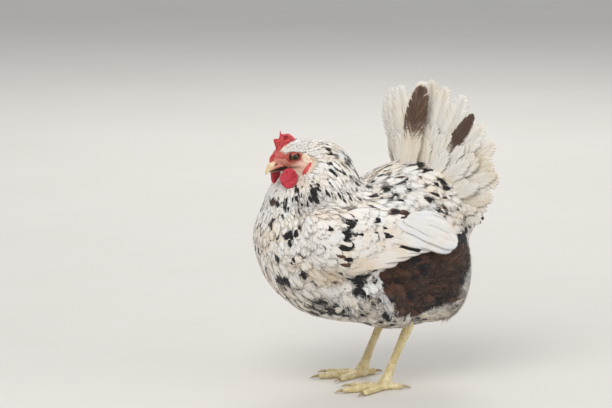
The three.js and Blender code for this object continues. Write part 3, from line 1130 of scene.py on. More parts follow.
@dataclass(frozen=True)
class EyeFinish:
    """A wet eye: an amber iris around a black pupil, read from the attribute "gaze".

    Attributes:
        name: The material's name.
        iris: The iris's usual colour.
        rim: The colour of its edge.
        inner: The colour of its streaks.
    """

    name: str = "eye_wet"
    iris: str = "5e4619"
    rim: str = "2c1a0c"
    inner: str = "3c2c0e"

    def build(self) -> Material:
        """Makes the material.

        Returns:
            The finished material.
        """
        n = Nodes(self.name)
        gaze = n.attribute("gaze")
        streaks = n.noise(900.0, 5.0)
        colour = n.mix(n.ramp(streaks, 0.35, 0.7), rgb(self.iris), rgb(self.inner))
        colour = n.mix(n.ramp(gaze, 0.7, 0.95), colour, rgb(self.rim))
        colour = n.mix(n.ramp(gaze, 0.46, 0.4), colour, rgb("050403"))
        n.set(Base_Color=colour, Roughness=0.3, Specular_IOR_Level=0.15)
        n.set(Coat_Weight=0.55, Coat_Roughness=0.03)
        n.bump(streaks, 0.1, 0.0001)
        return n.material


# ---- the skin


FLESH = ["trunk", "saddle", "neck", "head", "thigh_left", "thigh_right", "wing_left", "wing_right"]


# The left eyeball's middle, (ahead, left, up) from the middle of the head, and its radius, in millimetres.
EYE_MIDDLE = (-3.2, 7.2, -1.7)
EYE_RADIUS = 7.4

# Where each side of the head is bare: (ahead, up) from its middle and the reach each way, in millimetres.
BARE = (
    (1.0, -2.4, 14.0, 8.2),  # round the eye
    (19.0, -6.0, 9.0, 9.5),  # before the eye
    (7.0, -13.5, 14.0, 6.5),  # along the jaw
    (12.0, -17.0, 10.0, 5.0),  # the chin
    (-5.0, -10.0, 11.0, 7.5),  # the cheek
    (-11.0, -5.0, 9.0, 7.5),  # out to the ear lobe
    (-8.0, -12.5, 8.0, 6.5),  # down the fold below the lobe
    (17.0, 1.0, 8.0, 6.0),  # under the comb
)
# Where the wattles hang in front of the throat, given alike.
BEHIND_WATTLE = (9.0, -23.5, 9.0, 9.0)
# Where the flesh of each side melts together: a middle and the reach along each axis, in millimetres.
SHOULDER = ((-70, 72, 196), (36, 40, 48))
WING_EDGE = ((-30, 74, 222), (64, 36, 22))
# The throat beside the wattles, drawn in: (ahead, aside, up) from the middle of the head, and the reach.
THROAT = ((1, 15, -27), (13, 14, 15))
# The parts of the head whose faces are split finer, one after the other: a middle and a reach.
FINER = (((5, 0, -3), 30.0), ((5, 0, -3), 21.0), ((-1.4, 11, -1.7), 10.0))


def apart(places: Array, middle: tuple, reach: tuple = (1, 1, 1)) -> Array:
    """Measures places on both sides from a middle that each side has.

    Args:
        places: The places, in millimetres.
        middle: The middle: ahead or behind, aside and up.
        reach: How far along each axis counts as 1.

    Returns:
        The distances.
    """
    offset = joined(places[:, 0], np.abs(places[:, 1]), places[:, 2]) - middle
    return np.sqrt(((offset / reach) ** 2).sum(1))


@dataclass
class Skin:
    """The hen's body under the coat, one closed form with the face modelled in it.

    Attributes:
        voxel: The mesh's fineness over the body, in metres.
        lid_reach: The half length of the eye's opening, in millimetres.
        lid_rise: The half height of the eye's opening, in millimetres.
        object: The finished skin.
        tree: Its faces, for finding places on it.
        normals: Its smooth normals, one for each vertex.
        opening: Where the eyes open, from 0 to 1 at each vertex.
        crease: Where the face is creased, given alike.
        flush: Where the face is reddest, given alike.
    """

    voxel: float = 0.003
    lid_reach: float = 5.4
    lid_rise: float = 3.8
    object: Object = field(init=False)
    tree: BVHTree = field(init=False)
    normals: Array = field(init=False)
    opening: Array = field(init=False)
    crease: Array = field(init=False)
    flush: Array = field(init=False)

    def build(self) -> None:
        """Melts the flesh together, draws it in by the coat's depth and models the face."""
        self.object = merged_form("skin", FLESH, self.voxel)
        mesh = self.object.data
        points = smoothed(point_array(mesh), edge_array(mesh), 10)
        places = HEN.millimetres(points)
        melt = 0.5 * smooth_step(1.2, 0.7, np.minimum(apart(places, *SHOULDER), apart(places, *WING_EDGE)))
        points = smoothed(points, edge_array(mesh), 60, melt[:, None])
        set_points(mesh, points)
        throat = smooth_step(1.4, 0.2, apart(HEN.head_millimetres(points), *THROAT))
        inset = LIE.measures(points)[:, 2] * (1.0 - self.bare(points, -0.6)) + 6.0 * MM * throat
        points = points - normal_array(mesh) * inset[:, None]
        points = smoothed(points, edge_array(mesh), 3)
        set_points(mesh, points)
        self.refine_face()
        self.model_face()
        self.paint_skin()

    def bare(self, points: Array, edge: float = 0.02) -> Array:
        """Says where the head is bare of feathers.

        Args:
            points: Places in the model's frame.
            edge: Where the rise to bare skin starts; less than 0 starts it outside the bare patches.

        Returns:
            Values from 0 to 1.
        """
        ahead, left, up = HEN.head_millimetres(points).T
        near = 1.0 - np.hypot((ahead - 8.0) / 21.0, left / 4.5) - np.where(up > 4, 0.0, 2.0)
        for middle, low, long, high in BARE:
            near = np.maximum(near, 1.0 - np.hypot((ahead - middle) / long, (up - low) / high))
        on_head = np.hypot(np.hypot(ahead - 2, left), up + 3) < 34
        return smooth_step(edge, 0.22, near) * on_head

    def refine_face(self) -> None:
        """Splits the faces of the head finer: twice where the folds are, and once more at the eyes."""
        for middle, reach in FINER:
            mesh = self.object.data
            work = bmesh.new()
            work.from_mesh(mesh)
            corners = np.array([vert.co[:] for vert in work.verts])
            near = apart(HEN.head_millimetres(corners), middle) < reach
            work.verts.ensure_lookup_table()
            edges = [edge for edge in work.edges if near[edge.verts[0].index] and near[edge.verts[1].index]]
            bmesh.ops.subdivide_edges(work, edges=edges, cuts=1, use_grid_fill=True)
            bmesh.ops.triangulate(work, faces=[face for face in work.faces if len(face.verts) > 4])
            work.to_mesh(mesh)
            work.free()
            points = point_array(mesh)
            away = apart(HEN.head_millimetres(points), middle)
            strength = 0.5 * smooth_step(reach + 4, reach - 2, away)
            set_points(mesh, smoothed(points, edge_array(mesh), 3, strength[:, None]))

    def model_face(self) -> None:
        """Raises the lids and folds round the eyes, opens the eyes and wrinkles the lores."""
        mesh = self.object.data
        points, normals = point_array(mesh), normal_array(mesh)
        ahead, left, up = HEN.head_millimetres(points).T
        round_eye = np.hypot((ahead + 1.4) / self.lid_reach, (up + 1.7 + 0.14 * ahead) / self.lid_rise)
        facing = np.abs(normals @ HEN.head_left) > 0.08
        on_side = (np.abs(left) > 5.5) & facing
        lid = bell(round_eye - 1.18, 0.17) * 1.15
        groove = -bell(round_eye - 1.52, 0.14) * 0.6
        second = bell(round_eye - 1.86, 0.2) * 0.7
        brow = bell(ahead - 1.0, 10.0, up - 6.0, 2.2) * 1.5
        cheek = bell(ahead + 4.0, 9.0, up + 10.5, 3.2) * 1.1
        jaw = -bell(ahead - 4.0, 14.0, up + 14.6, 1.3) * 1.3
        wrinkle = ruffle(points * [1, 1, 2.6], 0.0032, 3, 1.0)
        wrinkle = wrinkle + ruffle(points * [1, 1, 2.2], 0.0013, 13, 0.4)
        bare = self.bare(points)
        raised = (lid + groove + second + brow + cheek + jaw + wrinkle * (round_eye > 1.3)) * bare * on_side
        points = points + normals * (raised * MM)[:, None]
        away = np.hypot(ahead - EYE_MIDDLE[0], up - EYE_MIDDLE[2]) / EYE_RADIUS
        ball = EYE_MIDDLE[1] + EYE_RADIUS * np.sqrt(clamp(1.0 - away**2)) + 0.4
        outside = np.sign(left) * np.maximum(ball - np.abs(left), 0.0) * (away < 1) * on_side
        points = points + (outside * smooth_step(0.9, 1.05, round_eye) * MM)[:, None] * HEN.head_left
        opening = smooth_step(1.08, 0.88, round_eye) * on_side
        lids = smooth_step(2.5, 1.2, round_eye) * on_side
        under_comb = smooth_step(6.0, 13.0, ahead) * smooth_step(-5.0, -0.5, up)
        self.flush = clamp(lids + under_comb + smooth_step(-2.0, 3.0, up) * 0.5 * on_side)
        self.crease = bell(round_eye - 1.08, 0.07) * 0.8 + smooth_step(0.3, 1.2, -jaw) * 0.6
        inward = -np.sign(left)[:, None] * HEN.head_left
        points = points + inward * (opening * 5.0 * MM)[:, None]
        soft = 0.45 * smooth_step(2.6, 2.0, round_eye) * on_side
        set_points(mesh, smoothed(points, edge_array(mesh), 7, soft[:, None]))
        self.opening = opening

    def paint_skin(self) -> None:
        """Stores the markings on the skin, unwraps it and dresses it."""
        mesh = self.object.data
        points = point_array(mesh)
        for tint in (T.BLACK, T.BROWN):
            paint(mesh, tint.value, MARKINGS.patch(tint, points))
        paint(mesh, "bare", self.bare(points))
        paint(mesh, "shadow", clamp(self.opening + self.crease * self.bare(points)))
        paint(mesh, "flush", self.flush)
        ahead, _, up = HEN.head_millimetres(points).T
        paint(mesh, "pallor", smooth_step(4.0, -6.0, ahead) * smooth_step(-4.0, -9.0, up) * 0.85)
        mesh.polygons.foreach_set("use_smooth", [True] * len(mesh.polygons))
        self.unwrap()
        face = BareSkinFinish("face_bare", "c67f6e", "b0463d", "e0b09a", 900.0, 0.00025)
        mesh.materials.clear()
        mesh.materials.append(SkinFinish("skin", face).build())
        self.tree = BVHTree.FromObject(self.object, bpy.context.evaluated_depsgraph_get())
        self.normals = normal_array(mesh)
        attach(self.object, BODY)
        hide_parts(*FLESH)

    def unwrap(self) -> None:
        """Unwraps the skin by its own shape into the map that the coat shares."""
        mesh = self.object.data
        mesh.uv_layers.new(name="OFBake")
        bpy.context.view_layer.objects.active = self.object
        self.object.select_set(True)
        bpy.ops.object.mode_set(mode="EDIT")
        bpy.ops.mesh.select_all(action="SELECT")
        bpy.ops.uv.smart_project(angle_limit=math.radians(66), island_margin=0.002)
        bpy.ops.object.mode_set(mode="OBJECT")
        self.object.select_set(False)

    def beside(self, ahead: Array, up: Array, side: int) -> Array:
        """Finds the side of the head's surface.

        Args:
            ahead: Places ahead of the middle of the head, in millimetres.
            up: Places above it, shaped alike.
            side: 1 for the left and -1 for the right.

        Returns:
            How far aside the skin lies at each place, in millimetres.
        """
        found = []
        for place in zip(np.ravel(ahead), np.ravel(up)):
            start = Vector(HEN.on_head((place[0], 60.0 * side, place[1])))
            hit = self.tree.ray_cast(start, Vector(-side * HEN.head_left))[0]
            found.append(abs(HEN.head_millimetres(np.array([hit[:]]))[0, 1]) if hit else 0.0)
        return np.reshape(found, np.shape(ahead))

    def nearest(self, points: Array) -> tuple[Array, Array]:
        """Drops points onto the skin.

        Args:
            points: Places near the skin.

        Returns:
            The nearest places on the skin, and its smooth normals there.
        """
        mesh = self.object.data
        found = [self.tree.find_nearest(Vector(point)) for point in points]
        places = np.array([hit[0][:] for hit in found])
        corners = [list(mesh.polygons[hit[2]].vertices) for hit in found]
        normals = unit(np.array([self.normals[face].mean(0) for face in corners]))
        return places, normals


# ---- feathers


@dataclass(frozen=True)
class Vane:
    """The shape of one kind of small feather.

    Attributes:
        rings: How many cross-sections it has.
        broadest: Where along it the vane is widest, from 0 to 1.
        roundness: 2 for a round end, less for a pointed one.
        camber: How far the edges bend down, as a share of the half width.
        fray: How uneven the edges are, as a share of the half width.
        barbs: How many loose barbs stand at its margin.
        barbs_from: Where along it they start, from 0 to 1.
        barb_length: Their length as a share of the feather's width.
        core: How much of the width the closed vane has; the loose barbs fill the rest.
        thickness: The vane's thickness in the middle, in metres.
        stray: How far feathers turn from the lie of the coat, in degrees.
    """

    rings: int = 7
    broadest: float = 0.62
    roundness: float = 2.0
    camber: float = 0.07
    fray: float = 0.14
    barbs: int = 10
    barbs_from: float = 0.5
    barb_length: float = 0.34
    core: float = 1.0
    thickness: float = 0.0005
    stray: float = 9.0

    def half_width(self, along: Array) -> Array:
        """Gives the vane's half width at places along it, as a share of its greatest half width."""
        base = 1.0 - (1.0 - clamp(along / self.broadest)) ** 2
        end = clamp((along - self.broadest) / (1.0 - self.broadest))
        return (0.16 + 0.84 * base) * (1.0 - end**self.roundness) ** (1.0 / self.roundness)


@dataclass
class Plumes:
    """A batch of feathers as plain arrays, ready to be turned into one mesh.

    Attributes:
        points: All vertices.
        faces: All triangles.
        values: Per-vertex attributes by name.
        patches: Each vertex's place in the OFBake map.
        rims: Whether each vertex lies on a thin edge, where the shading breaks.
        marked: Whether the body's markings run over these feathers.
        count: How many vertices there are so far.
    """

    marked: bool = True
    points: list[Array] = field(default_factory=list)
    faces: list[Array] = field(default_factory=list)
    values: dict[str, list[Array]] = field(default_factory=dict)
    patches: list[Array] = field(default_factory=list)
    rims: list[Array] = field(default_factory=list)
    count: int = 0

    def add(self, points: Array, faces: Array, values: dict[str, Array], patches: Array, rim: Array) -> None:
        """Adds equal parts.

        Args:
            points: Vertices, shaped (parts, vertices, 3).
            faces: One part's triangles.
            values: Attributes, each shaped (parts, vertices).
            patches: Map places, shaped (parts, vertices, 2).
            rim: Whether each vertex of a part lies on its thin edge.
        """
        parts, size, _ = points.shape
        offsets = np.arange(parts)[:, None, None] * size + self.count
        self.points.append(points.reshape(-1, 3))
        self.faces.append((faces[None] + offsets).reshape(-1, faces.shape[1]))
        self.patches.append(patches.reshape(-1, 2))
        self.rims.append(np.tile(rim, parts))
        for key, value in values.items():
            self.values.setdefault(key, []).append(np.broadcast_to(value, (parts, size)).reshape(-1))
        self.count += parts * size

    def build(self, name: str, material: Material, slot: str, replaces: tuple = ()) -> None:
        """Makes the object, with its map, attributes and finish.

        Args:
            name: The piece's name.
            material: Its finish.
            slot: The record's slot that the finish belongs to.
            replaces: The CAD nodes that it stands for.
        """
        points = np.concatenate(self.points)
        faces = np.concatenate(self.faces)
        mesh = bpy.data.meshes.new(name)
        mesh.vertices.add(len(points))
        mesh.vertices.foreach_set("co", points.astype(np.float32).ravel())
        mesh.loops.add(faces.size)
        mesh.loops.foreach_set("vertex_index", faces.ravel().astype(np.int32))
        mesh.polygons.add(len(faces))
        mesh.polygons.foreach_set("loop_start", np.arange(0, faces.size, 3, dtype=np.int32))
        mesh.polygons.foreach_set("use_smooth", np.ones(len(faces), dtype=bool))
        mesh.update(calc_edges=True)
        thin = np.concatenate(self.rims)[edge_array(mesh)].all(1)
        mesh.attributes.new("sharp_edge", "BOOLEAN", "EDGE").data.foreach_set("value", thin)
        uv = mesh.uv_layers.new(name="OFBake")
        uv.data.foreach_set("uv", np.concatenate(self.patches)[faces.ravel()].astype(np.float32).ravel())
        values = {key: np.concatenate(value) for key, value in self.values.items()}
        for tint in Tint:
            if self.marked:
                own = values[tint.value]
                here = MARKINGS.patch(tint, points)
                values[tint.value] = np.maximum(values["spot_" + tint.value], own * (0.4 + 0.6 * here))
        for key, value in values.items():
            if not key.startswith("spot_"):
                paint(mesh, key, value)
        dress(add_object(name, mesh), material, slot, *replaces)


SPIKE_FACES = np.array([(0, 2, 1), (0, 1, 3), (1, 2, 3), (2, 0, 3)])


@dataclass
class FeatherBed:
    """Feathers of one kind, from the paths that their quills follow.

    Attributes:
        path: Each quill's path, shaped (feathers, steps, 3), in metres.
        up: The outward direction at each step, shaped alike.
        width: Each feather's full width.
        seeds: A random number from 0 to 1 for each.
        roots: Each root's place in the OFBake map.
        lift: How far each stands over its path at the end.
        tints: The strength of each tint's named patches at each feather's end.
        spots: Whether each feather has a spot of its own, for each tint.
    """

    path: Array
    up: Array
    width: Array
    seeds: Array
    roots: Array
    lift: Array | None = None
    tints: dict[Tint, Array] = field(default_factory=dict)
    spots: dict[Tint, Array] = field(default_factory=dict)

    def __post_init__(self) -> None:
        """Lays the feathers flat, and leaves them plain, where nothing else is given."""
        nothing = np.zeros(len(self.path))
        self.lift = nothing if self.lift is None else self.lift
        self.tints = {tint: self.tints.get(tint, nothing) for tint in Tint}
        self.spots = {tint: self.spots.get(tint, nothing) for tint in Tint}

    def axes(self, shares: Array) -> tuple[Array, Array, Array, Array]:
        """Finds the quills' places and directions.

        Args:
            shares: Where along the quills, from 0 to 1.

        Returns:
            Places, then unit vectors along, across and outward, each shaped (feathers, shares, 3).
        """
        rise = (1.0 - (1.0 - shares) ** 2.0)[None, :, None] * self.lift[:, None, None]
        outward = unit(along_path(self.up, shares))
        places = along_path(self.path, shares) + outward * (rise + 0.0003)
        ahead = unit(np.gradient(places, axis=1))
        outward = unit(outward - ahead * (outward * ahead).sum(-1, keepdims=True))
        return places, ahead, np.cross(ahead, outward), outward

    def shown(self, along: Array, side: Array) -> dict[str, Array]:
        """Gives each feather's own tints and the spots near its end.

        Args:
            along: Places from 0 to 1, shaped (feathers, vertices).
            side: Places across from -1 to 1, shaped alike.

        Returns:
            Each tint's strength by name.
        """
        seeds = self.seeds[:, None]
        middle, aside = 0.62 + 0.25 * seeds, (seeds * 13 % 1 - 0.5) * 1.2
        reach = 0.16 + 0.22 * (seeds * 29 % 1)
        away = np.hypot((along - middle) / reach, (side - aside) / (reach * 3.4))
        spot = smooth_step(1.25, 0.5, away)
        shown = {tint.value: self.tints[tint][:, None] * np.ones_like(along) for tint in Tint}
        for tint in Tint:
            shown["spot_" + tint.value] = self.spots[tint][:, None] * spot
        return shown

    def build(self, vane: Vane, plumes: Plumes, rng: Chance) -> None:
        """Adds the feathers' vanes and loose barbs to a batch.

        Args:
            vane: The feathers' shape.
            plumes: The batch to add to.
            rng: The source of chance.
        """
        feathers = len(self.path)
        shares = np.linspace(0.04, 0.97, vane.rings) ** 0.9
        grid = np.concatenate([[0.0], shares, [1.0]])
        places, ahead, across, outward = self.axes(grid)
        body = slice(1, -1)
        half = vane.half_width(shares)[None] * self.width[:, None] / 2 * vane.core
        uneven = vane.fray * (rng.random((feathers, vane.rings, 2)) * 2 - 1)
        reach = half[..., None] * (1.0 + uneven * shares[None, :, None] ** 1.5 * 1.6)
        length = np.linalg.norm(self.path[:, -1] - self.path[:, 0], axis=1)
        swept = np.minimum(reach * 0.45, length[:, None, None] * (1.02 - shares[None, :, None]))
        rows = []
        for side, sign in ((0, -1.0), (1, 1.0)):
            rows.append(
                places[:, body]
                + across[:, body] * (sign * reach[..., side, None])
                + ahead[:, body] * swept[..., side, None]
                - outward[:, body] * (vane.camber * reach[..., side, None])
            )
        thick = vane.thickness * (1.0 - 0.6 * shares)[None, :, None] / 2
        top = places[:, body] + outward[:, body] * thick
        bottom = places[:, body] - outward[:, body] * thick
        points = capped(places, np.stack([rows[0], top, rows[1], bottom], axis=2))
        along = np.concatenate([[0.0], np.repeat(shares, 4), [1.0]])
        side = np.concatenate([[0.0], np.tile([-1.0, 0.0, 1.0, 0.0], vane.rings), [0.0]])
        self.store(plumes, points, tube_faces(vane.rings), along, side, np.abs(side) == 1.0)
        if vane.barbs:
            self.add_barbs(vane, plumes, rng)

    def store(
        self,
        plumes: Plumes,
        points: Array,
        faces: Array,
        along: Array,
        side: Array,
        rim: Array | None = None,
    ) -> None:
        """Adds parts of each feather with their attributes and their patches of the map.

        Args:
            plumes: The batch.
            points: Vertices, shaped (feathers, vertices, 3).
            faces: One part's triangles.
            along: Each vertex's place along its feather.
            side: Each vertex's place across it, from -1 to 1.
            rim: Whether each vertex lies on a thin edge; none does if it isn't given.
        """
        shape = points.shape[:2]
        along, side = np.broadcast_to(along, shape), np.broadcast_to(side, shape)
        values = {"along": along, "across": side, "seed": self.seeds[:, None]} | self.shown(along, side)
        patches = self.roots[:, None] + joined(side * 0.0013, (along - 0.5) * 0.003)
        plumes.add(points, faces, values, patches, np.zeros(shape[1], dtype=bool) if rim is None else rim)

    def add_barbs(self, vane: Vane, plumes: Plumes, rng: Chance) -> None:
        """Adds loose barbs, thin spikes that stand out from the vane's margin.

        Args:
            vane: The feathers' shape.
            plumes: The batch to add to.
            rng: The source of chance.
        """
        feathers = len(self.path)
        shares = np.linspace(vane.barbs_from, 0.985, vane.barbs)
        places, ahead, across, outward = self.axes(shares)
        sign = np.where(np.arange(vane.barbs) % 2 == 0, -1.0, 1.0)[None, :, None]
        half = (vane.half_width(shares)[None] * self.width[:, None] / 2 * vane.core)[..., None]
        root = places + across * (sign * half * 0.7) + ahead * (half * 0.3)
        root = root - outward * (half * vane.camber * 0.6)
        spread = np.radians(20 + 34 * (1 - shares)[None, :, None] * 2)
        spread = spread * (0.7 + 0.6 * rng.random((feathers, vane.barbs, 1)))
        heading = unit(ahead * np.cos(spread) + across * (sign * np.sin(spread)) - outward * 0.06)
        chance = 0.5 + rng.random((feathers, vane.barbs))
        reach = (self.width[:, None] * vane.barb_length * chance)[..., None]
        edge = np.cross(outward, heading)
        thin = (self.width[:, None, None] * 0.035 + 0.00012) * np.ones_like(reach)
        foot = [root + edge * thin, root - edge * thin, root - outward * 0.00025]
        spike = np.stack([*foot, root + heading * reach], axis=2)
        for k in range(vane.barbs):
            along = clamp(shares[k] + np.array([0.0, 0.0, 0.0, 0.12]))
            side = np.full(4, float(sign[0, k, 0])) * [0.7, 0.7, 0.7, 1.0]
            self.store(plumes, spike[:, k], SPIKE_FACES, along, side)


@dataclass
class Coat:
    """The contour feathers of the whole body, sown on the skin and laid along it.

    Attributes:
        skin: The skin that they grow on.
        steps: How many steps a quill's path has.
        seed: The seed of everything random in the coat.
        rng: The source of chance that starts from it.
    """

    skin: Skin
    steps: int = 5
    seed: int = 11
    rng: Chance = field(init=False)

    VANES = {
        R.HEAD: Vane(rings=4, barbs=8, barb_length=0.5, fray=0.15, core=0.85, thickness=0.0002, stray=10),
        R.NECK: Vane(rings=6, broadest=0.5, roundness=1.5, fray=0.25, barbs=14, barb_length=0.5, stray=9),
        R.BREAST: Vane(barbs=18, fray=0.25, barb_length=0.42, stray=11),
        R.FLANK: Vane(barbs=18, fray=0.3, barb_length=0.45, stray=12),
        R.BACK: Vane(barbs=16, fray=0.25, barb_length=0.4, stray=9),
        R.SADDLE: Vane(barbs=18, fray=0.25, barb_length=0.45, roundness=1.8, stray=12),
        R.REAR: Vane(rings=5, barbs=30, barbs_from=0.2, barb_length=0.9, core=0.5, roundness=1.5, stray=13),
        R.THIGH: Vane(barbs=18, fray=0.3, barb_length=0.45, stray=13),
        R.WING: Vane(barbs=8, fray=0.08, barb_length=0.14, camber=0.1, stray=5),
    }

    def build(self, finish: Material) -> None:
        """Sows, lays and builds every region's feathers.

        Args:
            finish: The feathers' material.
        """
        self.rng = np.random.default_rng(self.seed)
        roots, normals, patches = self.sow()
        keep = self.feathered(roots, normals)
        roots, normals, patches = roots[keep], normals[keep], patches[keep]
        labels = np.array([LIE.regions[i].value for i in LIE.region_index(roots)])
        left = HEN.millimetres(roots)[:, 1] < 0
        for region in Region:
            for side, of_side in (("left", left), ("right", ~left)):
                chosen = (labels == region.value) & of_side
                if chosen.any():
                    plumes = Plumes()
                    bed = self.lay(roots[chosen], normals[chosen], patches[chosen], self.VANES[region])
                    bed.build(self.VANES[region], plumes, self.rng)
                    slot = {R.THIGH: "thigh_plumage", R.WING: "wing_plumage"}.get(region, "body_plumage")
                    plumes.build(f"{region.value}_feathers_{side}", finish, slot)

    def sow(self) -> tuple[Array, Array, Array]:
        """Chooses where feathers grow, evenly and as closely as each place asks.

        Returns:
            The roots' places, the skin's normals and the places in the OFBake map.
        """
        mesh = self.skin.object.data
        mesh.calc_loop_triangles()
        corners, loops = (read(mesh.loop_triangles, key, 3, int) for key in ("vertices", "loops"))
        flat = read(mesh.uv_layers["OFBake"].data, "uv", 2)
        triangles = point_array(mesh)[corners]
        edges = triangles[:, 1:] - triangles[:, :1]
        area = np.linalg.norm(np.cross(edges[:, 0], edges[:, 1]), axis=1) / 2
        spacing = LIE.measures(triangles.mean(1))[:, 3]
        wanted = area / spacing**2
        number = int(wanted.sum() * 5)
        picked = self.rng.choice(len(wanted), number, p=wanted / wanted.sum())
        mix = self.rng.random((number, 2))
        mix[mix.sum(1) > 1] = 1 - mix[mix.sum(1) > 1]
        weights = np.concatenate([1 - mix.sum(1, keepdims=True), mix], axis=1)
        places = (triangles[picked] * weights[..., None]).sum(1)
        normals = unit((self.skin.normals[corners[picked]] * weights[..., None]).sum(1))
        patches = (flat[loops[picked]] * weights[..., None]).sum(1)
        kept = self.thin_out(places, spacing[picked] * 0.86)
        return places[kept], normals[kept], patches[kept]

    def thin_out(self, places: Array, gaps: Array) -> list[int]:
        """Keeps only places that are far enough from those already kept.

        Args:
            places: The places, in random order.
            gaps: How far each has to be from the others.

        Returns:
            The numbers of the places to keep.
        """
        cell = 0.008
        grid: dict[tuple[int, int, int], list[int]] = {}
        keys = np.floor(places / cell).astype(int)
        near = [(i, j, k) for i in (-1, 0, 1) for j in (-1, 0, 1) for k in (-1, 0, 1)]
        rows, limits = places.tolist(), (gaps**2).tolist()
        kept: list[int] = []
        for number, (x, y, z) in enumerate(keys.tolist()):
            px, py, pz = rows[number]
            limit = limits[number]
            clear = True
            for i, j, k in near:
                for other in grid.get((x + i, y + j, z + k), ()):
                    qx, qy, qz = rows[other]
                    if (px - qx) ** 2 + (py - qy) ** 2 + (pz - qz) ** 2 < limit:
                        clear = False
                        break
                if not clear:
                    break
            if clear:
                grid.setdefault((x, y, z), []).append(number)
                kept.append(number)
        return kept

    def feathered(self, roots: Array, normals: Array) -> Array:
        """Says which roots are on feathered skin, point away from the bare skin and aren't behind a wattle.

        Args:
            roots: The roots' places.
            normals: The skin's normals there.

        Returns:
            Whether a feather grows at each root.
        """
        ahead, left, up = HEN.head_millimetres(roots).T
        middle, low, long, high = BEHIND_WATTLE
        behind = np.hypot((ahead - middle) / long, (up - low) / high) < 1
        hidden = behind & (np.abs(left) > 3.5) & (np.abs(left) < 17.0)
        tips = roots + LIE.directions(roots, normals) * LIE.measures(roots)[:, :1] * 0.9
        return (self.skin.bare(roots) < 0.35) & (self.skin.bare(tips) < 0.5) & ~hidden

    def lay(self, roots: Array, normals: Array, patches: Array, vane: Vane) -> FeatherBed:
        """Walks each quill along the skin, following the lie of the coat.

        Args:
            roots: Where the feathers grow.
            normals: The skin's normals there.
            patches: The roots' places in the OFBake map.
            vane: The feathers' shape.

        Returns:
            The feathers, laid out.
        """
        sizes = LIE.measures(roots)
        count = len(roots)
        length = sizes[:, 0] * (0.85 + 0.3 * self.rng.random(count))
        turn = np.radians(vane.stray) * self.rng.standard_normal(count)
        place, outward = roots, normals
        path, up = [place], [outward]
        for _ in range(self.steps - 1):
            ahead = LIE.directions(place, outward)
            aside = np.cross(outward, ahead)
            ahead = ahead * np.cos(turn)[:, None] + aside * np.sin(turn)[:, None]
            place, outward = self.skin.nearest(place + ahead * (length / (self.steps - 1))[:, None])
            path.append(place)
            up.append(outward)
        tips = path[-2] + up[-2] * 0.004
        tints, spots = MARKINGS.feathers(tips, self.rng)
        return FeatherBed(
            path=np.stack(path, axis=1),
            up=np.stack(up, axis=1),
            width=sizes[:, 1] * (0.85 + 0.3 * self.rng.random(count)),
            lift=sizes[:, 2] * (0.9 + 0.25 * self.rng.random(count)),
            seeds=self.rng.random(count),
            tints=tints,
            spots=spots,
            roots=patches,
        )


# ---- long feathers of the tail and wings


